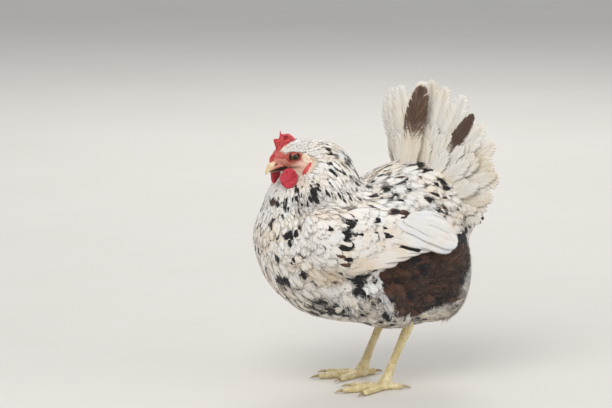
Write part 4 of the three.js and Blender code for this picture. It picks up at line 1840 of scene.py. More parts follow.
@dataclass
class LongFeathers:
    """Tail and wing quills whose vanes are made barb by barb.

    Attributes:
        barbs: How many barbs grow on each side of a quill.
        sweep: How far forward a barb ends, as a share of the quill.
        fray: How unevenly the barbs end, as a share of the vane's half width.
        group: How many barbs cling together before a split.
        split: How far a group's barbs draw together at their ends, from 0 to 1.
        quill: A quill's radius at its root, in metres.
    """

    barbs: int = 78
    sweep: float = 0.13
    fray: float = 0.2
    group: int = 8
    split: float = 0.3
    quill: float = 0.0011

    SHARES = np.array([0.1, 0.45, 0.82])

    def half_width(self, along: Array) -> Array:
        """Gives the vane's half width along a long feather, as a share of the greatest."""
        end = clamp((along - 0.76) / 0.24)
        return (0.3 + 0.7 * smooth_step(0.0, 0.55, along)) * np.sqrt(np.maximum(1.0 - end**2, 0.01))

    def build(self, bed: FeatherBed, plumes: Plumes, rng: Chance) -> None:
        """Adds the barbs and quills of a set of feathers to a batch.

        Args:
            bed: The quills' paths and sizes.
            plumes: The batch to add to.
            rng: The source of chance.
        """
        feathers = len(bed.path)
        starts = np.linspace(0.03, 1.0 - 0.4 * self.sweep, self.barbs)
        number = np.arange(self.barbs) // self.group
        middle = starts[0] + (number + 0.5) * self.group * (starts[1] - starts[0])
        lean = self.sweep * (1.0 - 0.6 * smooth_step(0.5, 1.0, starts))
        for sign in (-1.0, 1.0):
            drawn = self.split * (0.3 + rng.random((feathers, number[-1] + 1)))[:, number]
            ends = np.minimum(starts + (middle - starts) * drawn + lean, 1.0)
            ragged = 1.0 - self.fray * rng.random((feathers, number[-1] + 1))[:, number]
            ragged = ragged * (1.0 - 0.4 * self.fray * rng.random((feathers, self.barbs)))
            half = self.half_width(ends) * bed.width[:, None] / 2 * ragged
            self.add_side(bed, plumes, starts, ends, half, sign)
        self.add_quills(bed, plumes)

    def add_side(
        self, bed: FeatherBed, plumes: Plumes, starts: Array, ends: Array, half: Array, sign: float
    ) -> None:
        """Adds the barbs of one side of each quill.

        Args:
            bed: The quills' paths and sizes.
            plumes: The batch to add to.
            starts: Where each barb leaves the quill, from 0 to 1.
            ends: How far along the quill each barb ends, shaped (feathers, barbs).
            half: How far aside each barb ends, in metres, shaped alike.
            sign: Which side, -1 or 1.
        """
        shares = np.concatenate([[0.0], self.SHARES, [1.0]])
        fine = np.linspace(0.0, 1.0, 101)
        places, _, across, outward = bed.axes(fine)
        lift = np.where(sign > 0, 0.0004, -0.0002)
        wide = np.linalg.norm(places[:, 1:] - places[:, :-1], axis=-1).sum(1) / self.barbs * 0.85
        for k, start in enumerate(starts):
            at = start + (ends[:, k, None] - start) * shares[None] ** 1.1
            index = np.clip((at * 100).astype(int), 0, 100)
            rows = np.arange(len(places))[:, None]
            aside = across[rows, index] * (sign * half[:, k, None] * shares[None])[..., None]
            sag = outward[rows, index] * (lift - 0.06 * half[:, k, None] * shares[None] ** 2)[..., None]
            spine = places[rows, index] + aside + sag
            heading = unit(np.gradient(spine, axis=1))
            edge = unit(np.cross(outward[rows, index], heading))
            width = wide[:, None, None] * np.array([1.0, 1.0, 0.75])[None, :, None]
            thick = outward[rows, index][:, 1:-1] * 0.00018
            body = spine[:, 1:-1]
            ring = [body - edge[:, 1:-1] * width, body + thick, body + edge[:, 1:-1] * width, body - thick]
            points = capped(spine, np.stack(ring, axis=2))
            spread = np.concatenate([[0.0], np.repeat(self.SHARES, 4), [1.0]])
            along = np.minimum(start + (ends[:, k, None] - start) * spread[None], 1.0)
            rim = np.concatenate([[False], np.tile([True, False], 6), [False]])
            bed.store(plumes, points, tube_faces(3), along, sign * spread * 0.96, rim)

    def add_quills(self, bed: FeatherBed, plumes: Plumes) -> None:
        """Adds each feather's tapering quill.

        Args:
            bed: The quills' paths and sizes.
            plumes: The batch to add to.
        """
        shares = np.linspace(0.0, 0.96, 14)
        places, _, across, outward = bed.axes(shares)
        radius = (self.quill * (1.0 - shares) + 0.00022)[None, :, None]
        turn = turns(7)[:-1]
        ring = [places + (across * math.cos(a) + outward * math.sin(a)) * radius for a in turn]
        points = capped(places, np.stack(ring, axis=2))
        along = np.concatenate([[0.0], np.repeat(shares, 6), [0.97]])
        bed.store(plumes, points, tube_faces(14, 6), along, np.zeros(len(along)))


@dataclass
class Tail:
    """The raised tail: two fans of long feathers that spread from the ridge, with their soft coverts.

    Attributes:
        root: Where the quills meet, in millimetres.
        feathers: How many long feathers each side has.
        width: A long feather's width, in millimetres.
        twist: How far the right fan's first feathers turn their flat side to the left, in degrees.
        spread: How far from upright each fan's first and last feathers lean, in degrees.
        turn: How far each fan turns aside, at the ridge and at its edge, in degrees.
        length: A feather's length at the ridge and at the edge, in millimetres.
        coverts: How many soft feathers cover each fan's lower part.
    """

    root: Point = (66, 0, 212)
    feathers: int = 11
    width: float = 31.0
    twist: float = 35.0
    spread: dict[int, tuple[float, float]] = field(default_factory=lambda: {-1: (8, 98), 1: (15, 98)})
    turn: dict[int, tuple[float, float]] = field(default_factory=lambda: {-1: (52, 44), 1: (96, 50)})
    length: dict[int, tuple[float, float]] = field(default_factory=lambda: {-1: (147, 84), 1: (134, 84)})
    coverts: int = 50

    def aim(self, side: int, share: Array) -> Array:
        """Gives the direction of feathers in a fan.

        Args:
            side: -1 for the left fan and 1 for the right.
            share: Places in the fan, from 0 at the ridge to 1 at the edge.

        Returns:
            Unit vectors.
        """
        start, end = self.spread[side]
        spread = np.radians(start + (end - start) * share)
        start, end = self.turn[side]
        outward = np.radians(start + (end - start) * share**2)
        level = joined(np.cos(outward), side * np.sin(outward), 0.0)
        return level * np.sin(spread)[:, None] + np.cos(spread)[:, None] * np.array([0.0, 0.0, 1.0])

    def facing(self, side: int, share: Array) -> Array:
        """Gives the fan's outer face's direction at places in the fan."""
        along = self.aim(side, share)
        outer = side * unit(np.cross(along, self.aim(side, share + 0.03) - self.aim(side, share - 0.03)))
        turn = np.radians(self.twist) * clamp(1 - 2 * share)[:, None] * (side > 0)
        return outer * np.cos(turn) + np.cross(along, outer) * np.sin(turn)

    def reach(self, side: int, share: Array) -> Array:
        """Gives the long feathers' length in millimetres at places in the fan."""
        start, end = self.length[side]
        return start + (end - start) * share**1.5

    def bed(
        self, side: int, share: Array, start: Array, length: Array, off: Array, width: Array, seeds: Array
    ) -> FeatherBed:
        """Lays feathers in a fan.

        Args:
            side: -1 for the left fan and 1 for the right.
            share: Each feather's place in the fan.
            start: How far from the root each starts, in millimetres.
            length: Each feather's length, in millimetres.
            off: How far each stands off the fan's face, in millimetres.
            width: Each feather's width, in millimetres.
            seeds: A random number for each.

        Returns:
            The feathers, laid out.
        """
        aim, face = self.aim(side, share), self.facing(side, share)
        root = np.array(self.root) + [0, 5 * side, 0]
        steps = np.linspace(0.0, 1.0, 6)
        far = start[:, None] + length[:, None] * steps
        path = root + aim[:, None] * far[..., None] + face[:, None] * off[:, None, None]
        path = path + face[:, None] * (steps**2 * (seeds[:, None] - 0.5) * length[:, None] * 0.05)[..., None]
        turned = np.where(off < 0, -1.0, 1.0)[:, None]
        return FeatherBed(
            path=HEN.at(path),
            up=np.repeat((face * turned)[:, None], 6, axis=1),
            width=width * MM,
            seeds=seeds,
            roots=joined(0.05 + 0.9 * share, 0.03 + 0.02 * seeds),
        )

    def build(self, material: Material, rng: Chance) -> None:
        """Builds both fans and their coverts.

        Args:
            material: The tail feathers' finish.
            rng: The source of chance.
        """
        for side, name in BODY_SIDES:
            plumes = Plumes(marked=False)
            share = np.linspace(0.0, 1.0, self.feathers)
            share = clamp(share + (rng.random(self.feathers) - 0.5) * 0.03)
            off = np.linspace(0.5, 6.0, self.feathers) + rng.random(self.feathers)
            length = self.reach(side, share) * (0.96 + 0.07 * rng.random(self.feathers))
            width = self.width * (0.95 + 0.15 * rng.random(self.feathers))
            brown = self.brown(side)
            length, width, off = length * (1 - 0.03 * brown), width * (1 - 0.4 * brown), off + 5.5 * brown
            bed = self.bed(side, share, 0 * share, length, off, width, rng.random(self.feathers))
            bed.tints[T.BROWN] = brown
            LongFeathers(barbs=96, fray=0.17, group=3, split=0.6).build(bed, plumes, rng)
            if side < 0:
                LongFeathers(barbs=96, fray=0.1, split=0.2).build(self.ridge(), plumes, rng)
            plumes.build(f"tail_fan_{name}", material, "tail_feathers", (f"tail_{name}",))
            self.add_coverts(side, name, material, rng)

    def ridge(self) -> FeatherBed:
        """Lays the brown feather on the ridge between the fans, and the longer pale one behind it."""
        steps = np.linspace(0.0, 1.0, 6)[:, None]
        brown = np.array([49.0, -10.0, 212.0]) + steps * [0.0, -16.0, 138.0] + steps**2 * [15.0, 0, 0]
        pale = np.array([62.0, 1.0, 212.0]) + steps * [14.0, 14.0, 137.0] + steps**2 * [6.0, 0, 0]
        return FeatherBed(
            path=HEN.at(np.stack([brown, pale])),
            up=np.tile(unit(np.array([-0.4, -0.9, 0.0])), (2, 6, 1)),
            width=np.array([0.027, 0.036]),
            seeds=np.array([0.4, 0.6]),
            tints={T.BROWN: np.array([1.0, 0.0])},
            roots=np.array([[0.5, 0.5], [0.51, 0.5]]),
        )

    def brown(self, side: int) -> Array:
        """Says how brown each long feather is."""
        shades = np.zeros(self.feathers)
        shades[{-1: [3], 1: [6]}[side]] = 1.0
        return shades

    def add_coverts(self, side: int, name: str, material: Material, rng: Chance) -> None:
        """Covers the fan's lower part, on both faces, with soft shorter feathers.

        Args:
            side: -1 for the left fan and 1 for the right.
            name: The side's name.
            material: The feathers' finish.
            rng: The source of chance.
        """
        plumes = Plumes(marked=False)
        count = self.coverts
        share = np.clip(rng.random(count) * 1.1 - 0.03, 0.0, 1.05)
        outer = np.arange(count) < count * 0.65
        start = 8 + rng.random(count) * np.where(outer, 26, 16) + 12 * smooth_step(0.2, 0.0, share)
        length = (48 + 16 * rng.random(count)) * (0.9 + 0.35 * np.sin(share * 2.6))
        off = np.where(outer, 5.0 + 7 * (1 - start / 40), -2.5 - 7 * (1 - start / 40))
        bed = self.bed(side, share, start, length, off, 17 + 8 * rng.random(count), rng.random(count))
        bed.tints[T.BROWN] = (np.abs(share - 0.58) < 0.02) | (share > 0.99)
        bed.spots[T.BLACK] = rng.random(count) < 0.2
        LongFeathers(barbs=40, sweep=0.26, fray=0.3, group=4, split=0.4).build(bed, plumes, rng)
        plumes.build(f"tail_coverts_{name}", material, "tail_feathers")


@dataclass(frozen=True)
class Quill:
    """One long wing feather of the left side, in millimetres.

    Attributes:
        root: Where it leaves the wing.
        tip: Where it ends.
        width: Its width.
        tan: How tan it is, from 0 to 1.
        black: How black it is, from 0 to 1.
    """

    root: Point
    tip: Point
    width: float
    tan: float = 0.0
    black: float = 0.0


QUILLS = (
    # the tan edge below, edge over edge
    Quill((-46, -88, 151), (8, -87, 159), 14, tan=0.9),
    Quill((-34, -89, 157), (24, -85, 166), 15, tan=0.5),
    Quill((-22, -89, 163), (40, -83, 171), 16, tan=0.2),
    Quill((-14, -89, 170), (54, -80, 173), 17),
    Quill((-2, -88, 180), (50, -80, 169), 16, black=1.0),
    Quill((-8, -90, 186), (64, -78, 174), 22),
    # the broad white feathers that close over them
    Quill((0, -90, 193), (80, -74, 169), 27),
    Quill((8, -89, 201), (86, -73, 173), 28),
    Quill((14, -88, 207), (84, -72, 180), 28),
    Quill((20, -86, 211), (74, -71, 189), 24),
)


@dataclass
class WingQuills:
    """The long feathers of both folded wings, smooth-edged and lying over each other."""

    quills: tuple[Quill, ...] = QUILLS

    def each(self, key: str) -> Array:
        """Reads one field of every quill."""
        return np.array([getattr(quill, key) for quill in self.quills], dtype=float)

    def build(self, material: Material, rng: Chance) -> None:
        """Builds both wings' long feathers.

        Args:
            material: Their finish.
            rng: The source of chance.
        """
        count = len(self.quills)
        root, tip = self.each("root"), self.each("tip")
        order = np.linspace(0.0, 5.0, count)[:, None]
        steps = np.linspace(0.0, 1.0, 6)
        for side, name in BODY_SIDES:
            mirror = np.array([1.0, -side, 1.0])
            path = root[:, None] + (tip - root)[:, None] * steps[None, :, None]
            path[..., 1] -= order * 0.8 + 7.0 * np.sin(math.pi * steps * 0.8)
            path[..., 2] += 5.0 * np.sin(math.pi * steps)
            up = np.array([-0.12, -1.0, 0.18]) + steps[None, :, None] * np.array([0.35, 0.0, 0.0])
            up = np.repeat(unit(up * mirror), count, axis=0)
            spread = rng.random(count)
            bed = FeatherBed(
                path=HEN.at(path * mirror),
                up=up,
                width=self.each("width") * MM,
                seeds=0.25 + 0.2 * spread,
                tints={tint: self.each(tint.value) for tint in (T.TAN, T.BLACK)},
                roots=joined(spread, 0.93 + 0.02 * spread),
            )
            plumes = Plumes(marked=False)
            LongFeathers(barbs=84, sweep=0.14, fray=0.02, split=0.03, quill=0.0004).build(bed, plumes, rng)
            plumes.build(f"wing_quills_{name}", material, "flight_feathers", (f"primaries_{name}",))


# ---- the head's parts


@dataclass
class Comb:
    """A single comb with uneven points that bend to either side.

    Attributes:
        top: The serrated edge, as (ahead, up) from the middle of the head, in millimetres.
        base: Where it grows from the crown, given alike.
        thick: Its thickness at the base, in millimetres.
        sway: How far its edge bends aside, in millimetres.
    """

    top: Line = (
        (27.6, -1.5), (27.0, 2.4), (22.8, 3.8), (17.0, 4.0), (13.6, 7.5), (12.8, 12.0), (14.2, 16.4),
        (18.0, 18.8), (15.8, 20.0), (13.2, 20.4), (11.8, 28.2), (10.8, 28.4), (8.6, 24.8), (3.0, 24.2),
        (-2.0, 23.8), (-7.0, 23.0), (-11.0, 21.0), (-13.4, 17.6), (-13.6, 14.4),
    )  # fmt: skip
    base: Line = (
        (26.0, -5.5), (22.0, -4.0), (18.0, -1.0), (14.0, 2.5), (11.5, 6.5), (8.5, 9.5), (4.5, 11.5),
        (0.0, 12.6), (-6.0, 13.0), (-12.5, 12.0),
    )  # fmt: skip
    thick: float = 4.6
    sway: float = 3.0

    def build(self, finish: BareSkinFinish) -> None:
        """Builds and dresses the comb.

        Args:
            finish: The comb's skin.
        """
        columns, rows = 150, 22
        top, base = smooth_line(self.top, columns), smooth_line(self.base, columns)
        rise = np.linspace(0.0, 1.0, rows)[:, None]
        flat = base[None] + (top - base)[None] * rise[..., None]
        along = np.linspace(0.0, 1.0, columns)[None]
        curl = np.sin(along * 12.0 + 0.6) + 0.4 * np.sin(along * 27.0)
        middle = self.sway * rise**1.6 * (curl * 0.75 - 0.6 * bell(along - 0.75, 0.16))
        edge = np.sqrt(clamp(1.0 - rise**5)) * np.clip(along * (1 - along) * 30, 0.05, 1.0) ** 0.5
        half = self.thick / 2 * (1.0 - 0.62 * rise) * edge + 0.12
        place = joined(flat[..., 0], middle, flat[..., 1])
        points = place.reshape(-1, 3) * MM
        pebbles = ruffle(points, 0.0016, 4, 0.5).reshape(rows, columns)
        swell = ruffle(points, 0.005, 8, 1.6).reshape(rows, columns)
        half = half + (pebbles + swell * (1 - 0.5 * rise)) * edge * 0.8
        cup = np.hypot((flat[..., 0] - 2.5) / 5.0, (flat[..., 1] - 19.0) / 3.4)
        dent = 1.3 * bell(cup - 1.1, 0.35) - 2.4 * smooth_step(1.0, 0.3, cup)
        lefts = (middle + half + dent, middle - half - 0.8 * dent)
        sides = [HEN.on_head(joined(flat[..., 0], left, flat[..., 1])) for left in lefts]
        dress(closed_piece("comb_flesh", *sides), finish.build(), "comb_and_wattle_skin", "comb")


@dataclass
class Wattles:
    """The two round wattles that hang from the jaw.

    Attributes:
        place: The middle of each, (ahead, aside, up) from the middle of the head, in millimetres.
        radius: The half sizes of each, ahead and up, in millimetres.
        pointed: How far each narrows to its lower end.
        thick: Its thickness, in millimetres.
        turn: How far it turns outward at its hind edge, in degrees.
    """

    place: dict[int, Point] = field(default_factory=lambda: {1: (9.6, 13, -24.2), -1: (6.2, 11, -23)})
    radius: dict[int, tuple] = field(default_factory=lambda: {1: (11.2, 11.6), -1: (9.8, 10.8)})
    pointed: dict[int, float] = field(default_factory=lambda: {1: 0.0, -1: 0.4})
    thick: float = 2.6
    turn: float = 18.0

    def build(self, finish: BareSkinFinish) -> None:
        """Builds both wattles.

        Args:
            finish: Their skin.
        """
        material = finish.build()
        around, rings = 72, 16
        angle, out = turns(around)[None], np.linspace(0.0, 1.0, rings)[:, None]
        cos, sin = math.cos(math.radians(self.turn)), math.sin(math.radians(self.turn))
        spin = np.array([[cos, -sin, 0], [sin, cos, 0], [0, 0, 1]])
        for side, name in HEAD_SIDES:
            wave = 1.0 + 0.02 * np.sin(3 * angle + side) + 0.01 * np.sin(7 * angle)
            pinch = 1.0 - 0.15 * clamp(np.sin(angle)) ** 2
            pinch = pinch * (1.0 - self.pointed[side] * clamp(-np.sin(angle)) ** 2)
            ahead = self.radius[side][0] * out * np.cos(angle) * wave * pinch
            up = self.radius[side][1] * out * np.sin(angle) * wave
            cup = 2.0 * (out**2) + 0.7 * out**2 * np.sin(2 * angle + 1.3 * side)
            cup = cup + 0.5 * out * np.sin(5 * angle)
            rim = 1.0 + 0.45 * bell(out - 0.88, 0.09)
            half = self.thick / 2 * rim * np.sqrt(clamp(1.0 - out**9)) + 0.08
            hang = clamp(-up / self.radius[side][1]) * 1.4
            faces = []
            for face in (1, -1):
                left = cup * 0.5 + hang + face * half
                rows = joined(ahead, left, up).reshape(-1, 3)
                inside = np.repeat(out, around, axis=1).ravel() < 0.95
                rows[:, 1] += ruffle(rows * MM, 0.0022, 6, 0.55 * face) * inside
                rows = (rows @ spin + self.place[side]) * [1, side, 1]
                faces.append(HEN.on_head(rows).reshape(rings, around, 3))
            made = closed_piece(f"wattle_flesh_{name}", *faces, disc=True)
            dress(made, material, "comb_and_wattle_skin", f"wattle_{name}")


@dataclass
class Lobes:
    """The pale ear lobes, and the red fold that hangs below each.

    Attributes:
        skin: The skin that they lie on.
        place: A lobe's middle, (ahead, up) from the middle of the head, in millimetres.
        radius: Its half sizes ahead and up.
        fold: The line that the fold follows, as (ahead, aside, up).
    """

    skin: Skin
    place: tuple[float, float] = (-13.0, -3.6)
    radius: tuple[float, float] = (3.9, 5.7)
    fold: tuple[Point, ...] = (
        (-16.0, 25.0, -7.5), (-13.0, 25.0, -12.0), (-10.0, 24.0, -16.0), (-6.5, 23.0, -19.0),
        (-3.5, 22.5, -21.5),
    )  # fmt: skip

    def build(self, lobe: BareSkinFinish, flesh: BareSkinFinish) -> None:
        """Builds the lobes and folds of both sides.

        Args:
            lobe: The lobes' skin.
            flesh: The red folds' skin.
        """
        pale, red = lobe.build(), flesh.build()
        around, rings = 40, 10
        angle = turns(around)[None]
        out = np.linspace(0.0, 1.0, rings)[:, None]
        wave = 1 + 0.06 * np.sin(2 * angle + 0.7) + 0.03 * np.sin(5 * angle)
        ahead = self.place[0] + self.radius[0] * out * np.cos(angle) * wave
        up = self.place[1] + self.radius[1] * out * np.sin(angle) * wave
        bumps = ruffle(joined(ahead, up, up).reshape(-1, 3) * MM, 0.002, 2, 0.6).reshape(up.shape)
        swell = 3.0 * np.sqrt(clamp(1 - out**4)) - 0.6 * bell(out, 0.35)
        turn = turns(17)[None, :-1, None]
        size = np.sin(math.pi * np.linspace(0.05, 0.97, 30))[:, None, None] ** 0.6
        for side, name in HEAD_SIDES:
            flat = self.skin.beside(ahead, up, side)
            flat = flat[0].mean() + (flat - flat[0].mean()) * 0.8
            faces = [
                HEN.on_head(joined(ahead, (flat + rise) * side, up))
                for rise in (0.4 + swell + bumps, -1.5)
            ]
            made = closed_piece(f"lobe_{name}", *faces, disc=True)
            dress(made, pale, "ear_lobe_skin", f"ear_lobe_{name}")
            line = smooth_line(self.fold, 30) * [1, side, 1]
            wide, thin = unit(np.array([[-0.52, 0.51 * side, -0.67], [0.68, 0.7 * side, 0.0]]))
            tube = smoothed(line, np.stack([np.arange(29), np.arange(1, 30)], axis=1), 3)[:, None]
            tube = tube + (wide * np.cos(turn[0]) * 3.6 + thin * np.sin(turn[0]) * 2.6) * size
            rows = tube.reshape(-1, 3)
            rows = rows + ruffle(rows * MM, 0.003, 7, 0.9)[:, None]
            made = lofted(f"cheek_fold_{name}", HEN.on_head(rows).reshape(tube.shape))
            dress(made, red, "comb_and_wattle_skin")


@dataclass
class Eyes:
    """Both eyes: wet balls with a domed clear front, set behind the lids.

    Attributes:
        radius: An eye's radius, in millimetres.
        middle: The left one's middle, (ahead, left, up) from the middle of the head, in millimetres.
        turned: How far the eyes look ahead from straight aside, in degrees.
    """

    radius: float = EYE_RADIUS
    middle: Point = EYE_MIDDLE
    turned: float = 25.0

    def build(self, finish: EyeFinish) -> None:
        """Builds both eyes.

        Args:
            finish: Their finish.
        """
        material = finish.build()
        turn = math.radians(self.turned)
        for side, name in HEAD_SIDES:
            slope = np.linspace(0.02, math.pi - 0.02, 56)[:, None]
            round_it = turns(65)[None, :-1]
            out = np.sin(slope) * self.radius
            deep = np.cos(slope) * self.radius + 0.6 * bell(out, 3.4) * (np.cos(slope) > 0)
            across, up = out * np.cos(round_it), out * np.sin(round_it)
            ahead = across * math.cos(turn) + deep * math.sin(turn)
            left = deep * math.cos(turn) - across * math.sin(turn)
            rows = (joined(ahead, left, up) + self.middle) * [1, side, 1]
            made = lofted(f"eyeball_{name}", HEN.on_head(rows))
            gaze = np.concatenate([[0.0], (out / 5.0 + (np.cos(slope) < 0) + 0 * round_it).ravel(), [2.0]])
            paint(made.data, "gaze", gaze)
            dress(made, material, "eye", f"eye_{name}")


@dataclass
class Bill:
    """The short curved bill, slightly parted, with its nostrils.

    Attributes:
        culmen: The top line, as (ahead, up) from the middle of the head, in millimetres.
        mouth: The upper half's cutting edge, given alike.
        lower_edge: The lower half's cutting edge.
        chin: The lower half's underside.
        upper_width: The upper half's half widths from base to tip.
        lower_width: The lower half's, given alike.
    """

    culmen: Line = (
        (13, 0.5), (18, -1.5), (22.5, -3.6), (26.5, -7.0), (30.0, -11.5), (32.2, -15.5), (32.9, -19.0),
    )  # fmt: skip
    mouth: Line = (
        (8, -12.4), (12, -12.0), (17, -12.2), (22, -13.4), (27, -14.4), (30.6, -16.6), (32.7, -19.4),
    )  # fmt: skip
    lower_edge: Line = (
        (4, -13.2), (10, -12.6), (16, -13.0), (20, -14.4), (24.0, -15.6), (27.0, -16.6),
    )  # fmt: skip
    chin: Line = (
        (4, -18.0), (10, -18.0), (16, -18.0), (20, -18.0), (24.0, -17.8), (27.2, -17.0),
    )  # fmt: skip
    upper_width: tuple[float, ...] = (5.0, 5.9, 5.9, 4.9, 3.6, 2.1, 0.35)
    lower_width: tuple[float, ...] = (4.8, 5.4, 5.2, 4.5, 3.2, 0.6)

    def half_bill(self, ridge: tuple, edge: tuple, width: tuple, name: str) -> Object:
        """Lofts one half of the bill from its ridge and cutting edge.

        Args:
            ridge: The line along the top of the upper half or the underside of the lower half.
            edge: The cutting edge's line.
            width: The half widths from base to tip, in millimetres.
            name: The piece's name.

        Returns:
            The new object.
        """
        steps = 60
        ridge_line, edge_line = smooth_line(ridge, steps), smooth_line(edge, steps)
        half = smooth_line(np.array(width)[:, None], steps)[:, 0]
        angle = np.linspace(0.0, math.pi, 33)
        palate = np.linspace(math.pi, 2 * math.pi, 10)[1:-1]
        rings = []
        for k in range(steps):
            rise = np.concatenate([np.sin(angle) ** 0.85, 0.12 * -np.sin(palate)])
            left = np.concatenate([np.cos(angle), np.cos(palate)]) * half[k]
            rows = edge_line[k] + (ridge_line[k] - edge_line[k]) * rise[:, None]
            rings.append(joined(rows[:, 0], left, rows[:, 1]))
        return lofted(name, HEN.on_head(np.array(rings)))

    def build(self, finish: HornFinish) -> None:
        """Builds both halves, with a nostril on each side of the upper one.

        Args:
            finish: The horn.
        """
        material = finish.build()
        upper = self.half_bill(self.culmen, self.mouth, self.upper_width, "bill_upper_horn")
        local = HEN.head_millimetres(point_array(upper.data))
        ahead, left, up = local.T
        slope = 0.45 * (ahead - 20.3)
        slit = np.hypot((ahead - 20.3) / 3.3, (up + 8.0 + slope) / 1.3)
        lid = bell(ahead - 21.6, 2.6, up + 7.0 + slope, 1.5)
        hollow = smooth_step(1.2, 0.5, slit)
        side = np.sign(left) * (np.abs(left) > 1.0)
        local[:, 1] += side * (lid * 0.9 - hollow * 1.3)
        set_points(upper.data, HEN.on_head(local))
        paint(upper.data, "shadow", hollow * (side != 0))
        paint(upper.data, "fleshy", smooth_step(25.0, 20.5, ahead + 0.35 * (up + 8)))
        dress(upper, material, "bill_horn", "bill_upper")
        lower = self.half_bill(self.chin, self.lower_edge, self.lower_width, "bill_lower_horn")
        ahead, _, up = HEN.head_millimetres(point_array(lower.data)).T
        shade = smooth_step(28.5, 24.0, ahead) * 0.8 + smooth_step(-15.4, -14.2, up) * 0.4
        paint(lower.data, "shadow", shade)
        paint(lower.data, "fleshy", smooth_step(22.0, 17.0, ahead))
        dress(lower, material, "bill_horn", "bill_lower")


# ---- legs and feet


@dataclass
class Feet:
    """Both legs below the feathers: scutes down the front, rings on the toes, and claws.

    Attributes:
        voxel: The mesh's fineness, in metres.
        scute: A scute's height, in metres.
        toes: The toes' names.
    """

    voxel: float = 0.0007
    scute: float = 0.0042
    toes: tuple[str, ...] = ("inner", "middle", "outer", "hind")

    def build(self, scales: HornFinish, claws: HornFinish) -> None:
        """Builds both feet and their claws.

        Args:
            scales: The legs' finish.
            claws: The claws' finish.
        """
        material, horn = scales.build(), claws.build()
        for name in ("left", "right"):
            nodes = [f"shank_{name}"] + [f"toe_{toe}_{name}" for toe in self.toes]
            foot = merged_form(f"foot_{name}", nodes, self.voxel)
            points = smoothed(point_array(foot.data), edge_array(foot.data), 4)
            set_points(foot.data, points)
            self.add_scutes(foot.data, points, name)
            dress(foot, material, "leg_scales", *nodes)
            for toe in self.toes:
                self.add_claw(f"claw_{toe}_{name}", horn)

    def add_scutes(self, mesh: Mesh, points: Array, name: str) -> None:
        """Raises overlapping scutes on the shank's front and the toes' tops.

        Args:
            mesh: The foot.
            points: Its vertices.
            name: The foot's side.
        """
        low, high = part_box(f"shank_{name}")
        middle = np.array([(low[0] * 0.7 + high[0] * 0.3), (low[1] + high[1]) / 2, 0.0])
        reach = np.linalg.norm((points - middle)[:, :2], axis=1)
        on_shank = smooth_step(0.012, 0.02, points[:, 2]) > 0.5
        tooth = np.where(on_shank, points[:, 2], reach) / self.scute % 1.0
        scute = np.where(on_shank, tooth, 1 - tooth) ** 0.6
        normals = normal_array(mesh)
        front, above = smooth_step(-0.2, 0.6, -normals[:, 0]), smooth_step(0.1, 0.7, normals[:, 2])
        top = np.where(on_shank, front, above)
        small = value_noise(points, 0.0022, 31)
        rise = top * (scute - 0.5) * 0.00065 + (1 - top) * (small - 0.5) * 0.0006
        rise[points[:, 2] < 0.001] = 0.0
        moved = points + normals * rise[:, None]
        moved[:, 2] = np.maximum(moved[:, 2], 0.0)
        set_points(mesh, moved)
        paint(mesh, "shadow", np.clip((0.22 - scute) * 3, 0, 0.5) * top)

    def add_claw(self, node: str, horn: Material) -> None:
        """Remeshes a claw finely and dresses it.

        Args:
            node: The solid claw.
            horn: The claws' finish.
        """
        claw = merged_form(node + "_horn", [node], 0.00045)
        points = smoothed(point_array(claw.data), edge_array(claw.data), 6)
        points[:, 2] = np.maximum(points[:, 2], 0.0)
        set_points(claw.data, points)
        dress(claw, horn, "claw_horn", node)


# ---- the stage


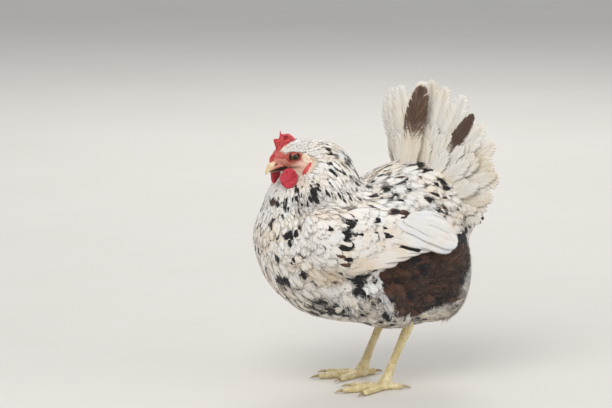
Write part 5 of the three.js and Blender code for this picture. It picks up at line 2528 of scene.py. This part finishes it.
@dataclass(frozen=True)
class Studio:
    """A pale floor, soft lights and the camera.

    Attributes:
        azimuth: How far round from the hen's left side the camera stands, in degrees.
        elevation: How far it looks down, in degrees.
        distance: How far off it stands, in metres.
        frame_width: How much the frame shows at that distance, in metres.
        target: What it looks at, in millimetres.
        floor_reach: Half the floor's width, in metres.
        sensor: The camera's sensor width, in millimetres.
    """

    azimuth: float = -20.0
    elevation: float = 10.0
    distance: float = 3.9
    frame_width: float = 0.704
    target: Point = (-58.4, 27.8, 210.3)
    floor_reach: float = 12.0
    sensor: float = 36.0

    def build(self) -> None:
        """Sets up the floor, the lights and the camera."""
        self.floor()
        self.camera()
        self.lights()

    def floor(self) -> None:
        """Lays a wide, pale, faintly uneven floor."""
        corners = self.floor_reach * np.array([[-1, -1, 0], [1, -1, 0], [1, 1, 0], [-1, 1, 0]])
        floor = make_object("floor", corners, [[0, 1, 2, 3]])
        n = Nodes("floor_matt")
        colour = n.mix(n.noise(3.0, 4.0), rgb("cdc8c0"), rgb("d5d0c9"))
        n.set(Base_Color=colour, Roughness=0.9)
        n.bump(n.noise(40.0, 3.0), 0.05, 0.001)
        floor.data.materials.append(n.material)

    def camera(self) -> None:
        """Looks at the hen from its left front, a little above."""
        turn, rise = math.radians(self.azimuth), math.radians(self.elevation)
        out = Vector((math.sin(turn) * math.cos(rise), -math.cos(turn) * math.cos(rise), math.sin(rise)))
        data = bpy.data.cameras.new("camera")
        data.sensor_width = self.sensor
        data.lens = self.sensor * self.distance / self.frame_width
        camera = add_object("camera", data)
        camera.location = Vector(HEN.at(self.target)) + out * self.distance
        camera.rotation_euler = out.to_track_quat("Z", "Y").to_euler()
        bpy.context.scene.camera = camera

    def lights(self) -> None:
        """Hangs a large key light, a fill and a pale sky."""
        for name, place, size, power in (
            ("key", (-1.3, -1.5, 2.2), 1.8, 50.0),
            ("fill", (1.9, -1.6, 1.1), 1.8, 16.0),
            ("back", (0.8, 1.9, 1.8), 1.4, 26.0),
        ):
            data = bpy.data.lights.new(name, "AREA")
            data.size, data.energy = size, power
            light = add_object(name, data)
            light.location = place
            aim = Vector(place) - Vector((0.0, 0.0, 0.18))
            light.rotation_euler = aim.to_track_quat("Z", "Y").to_euler()
        world = bpy.data.worlds.new("sky")
        world.use_nodes = True
        world.node_tree.nodes["Background"].inputs["Color"].default_value = rgb("e9edf2")
        world.node_tree.nodes["Background"].inputs["Strength"].default_value = 0.68
        bpy.context.scene.world = world
        bpy.context.scene.view_settings.view_transform = "Standard"


def write_sizes() -> None:
    """Brings the view layer up to date."""
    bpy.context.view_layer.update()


def main() -> None:
    """Builds the hen and its stage, and reports each piece."""
    Studio().build()
    skin = Skin()
    skin.build()
    log.info("skin: %d faces", len(skin.object.data.polygons))
    plumage = PlumageFinish("plumage").build()
    Coat(skin).build(plumage)
    rng = np.random.default_rng(3)
    tail = PlumageFinish(
        "tail_plumage",
        cream="efe7d9",
        cool="eeeae2",
        warm="e6d8c0",
        brown="564236",
        russet="7b6250",
        fluff=0.55,
    )
    Tail().build(tail.build(), rng)
    WingQuills().build(PlumageFinish("wing_plumage", cream="f4f0ea", cool="eceef2").build(), rng)
    flesh = BareSkinFinish("comb_flesh", main="d64b4e", deep="a8262b", pale="ee9f98")
    Comb().build(flesh)
    Wattles().build(BareSkinFinish("wattle_flesh", main="cb3a4a", deep="a61d2b", pale="e0707a"))
    Lobes(skin).build(BareSkinFinish("lobe", main="efe6d3", deep="d6bc9f", pale="f8f2e4"), flesh)
    Eyes().build(EyeFinish())
    Bill().build(HornFinish("bill_horn", main="d4b78e", dark="6e5236", tip="e8d3b8"))
    Feet().build(
        HornFinish("leg_scales", main="c9b583", dark="6d5a35", tip="ded0a6"),
        HornFinish("claw_horn", main="b7a57e", dark="594832", tip="8d7a58"),
    )
    write_sizes()


if __name__ == "__main__":
    main()
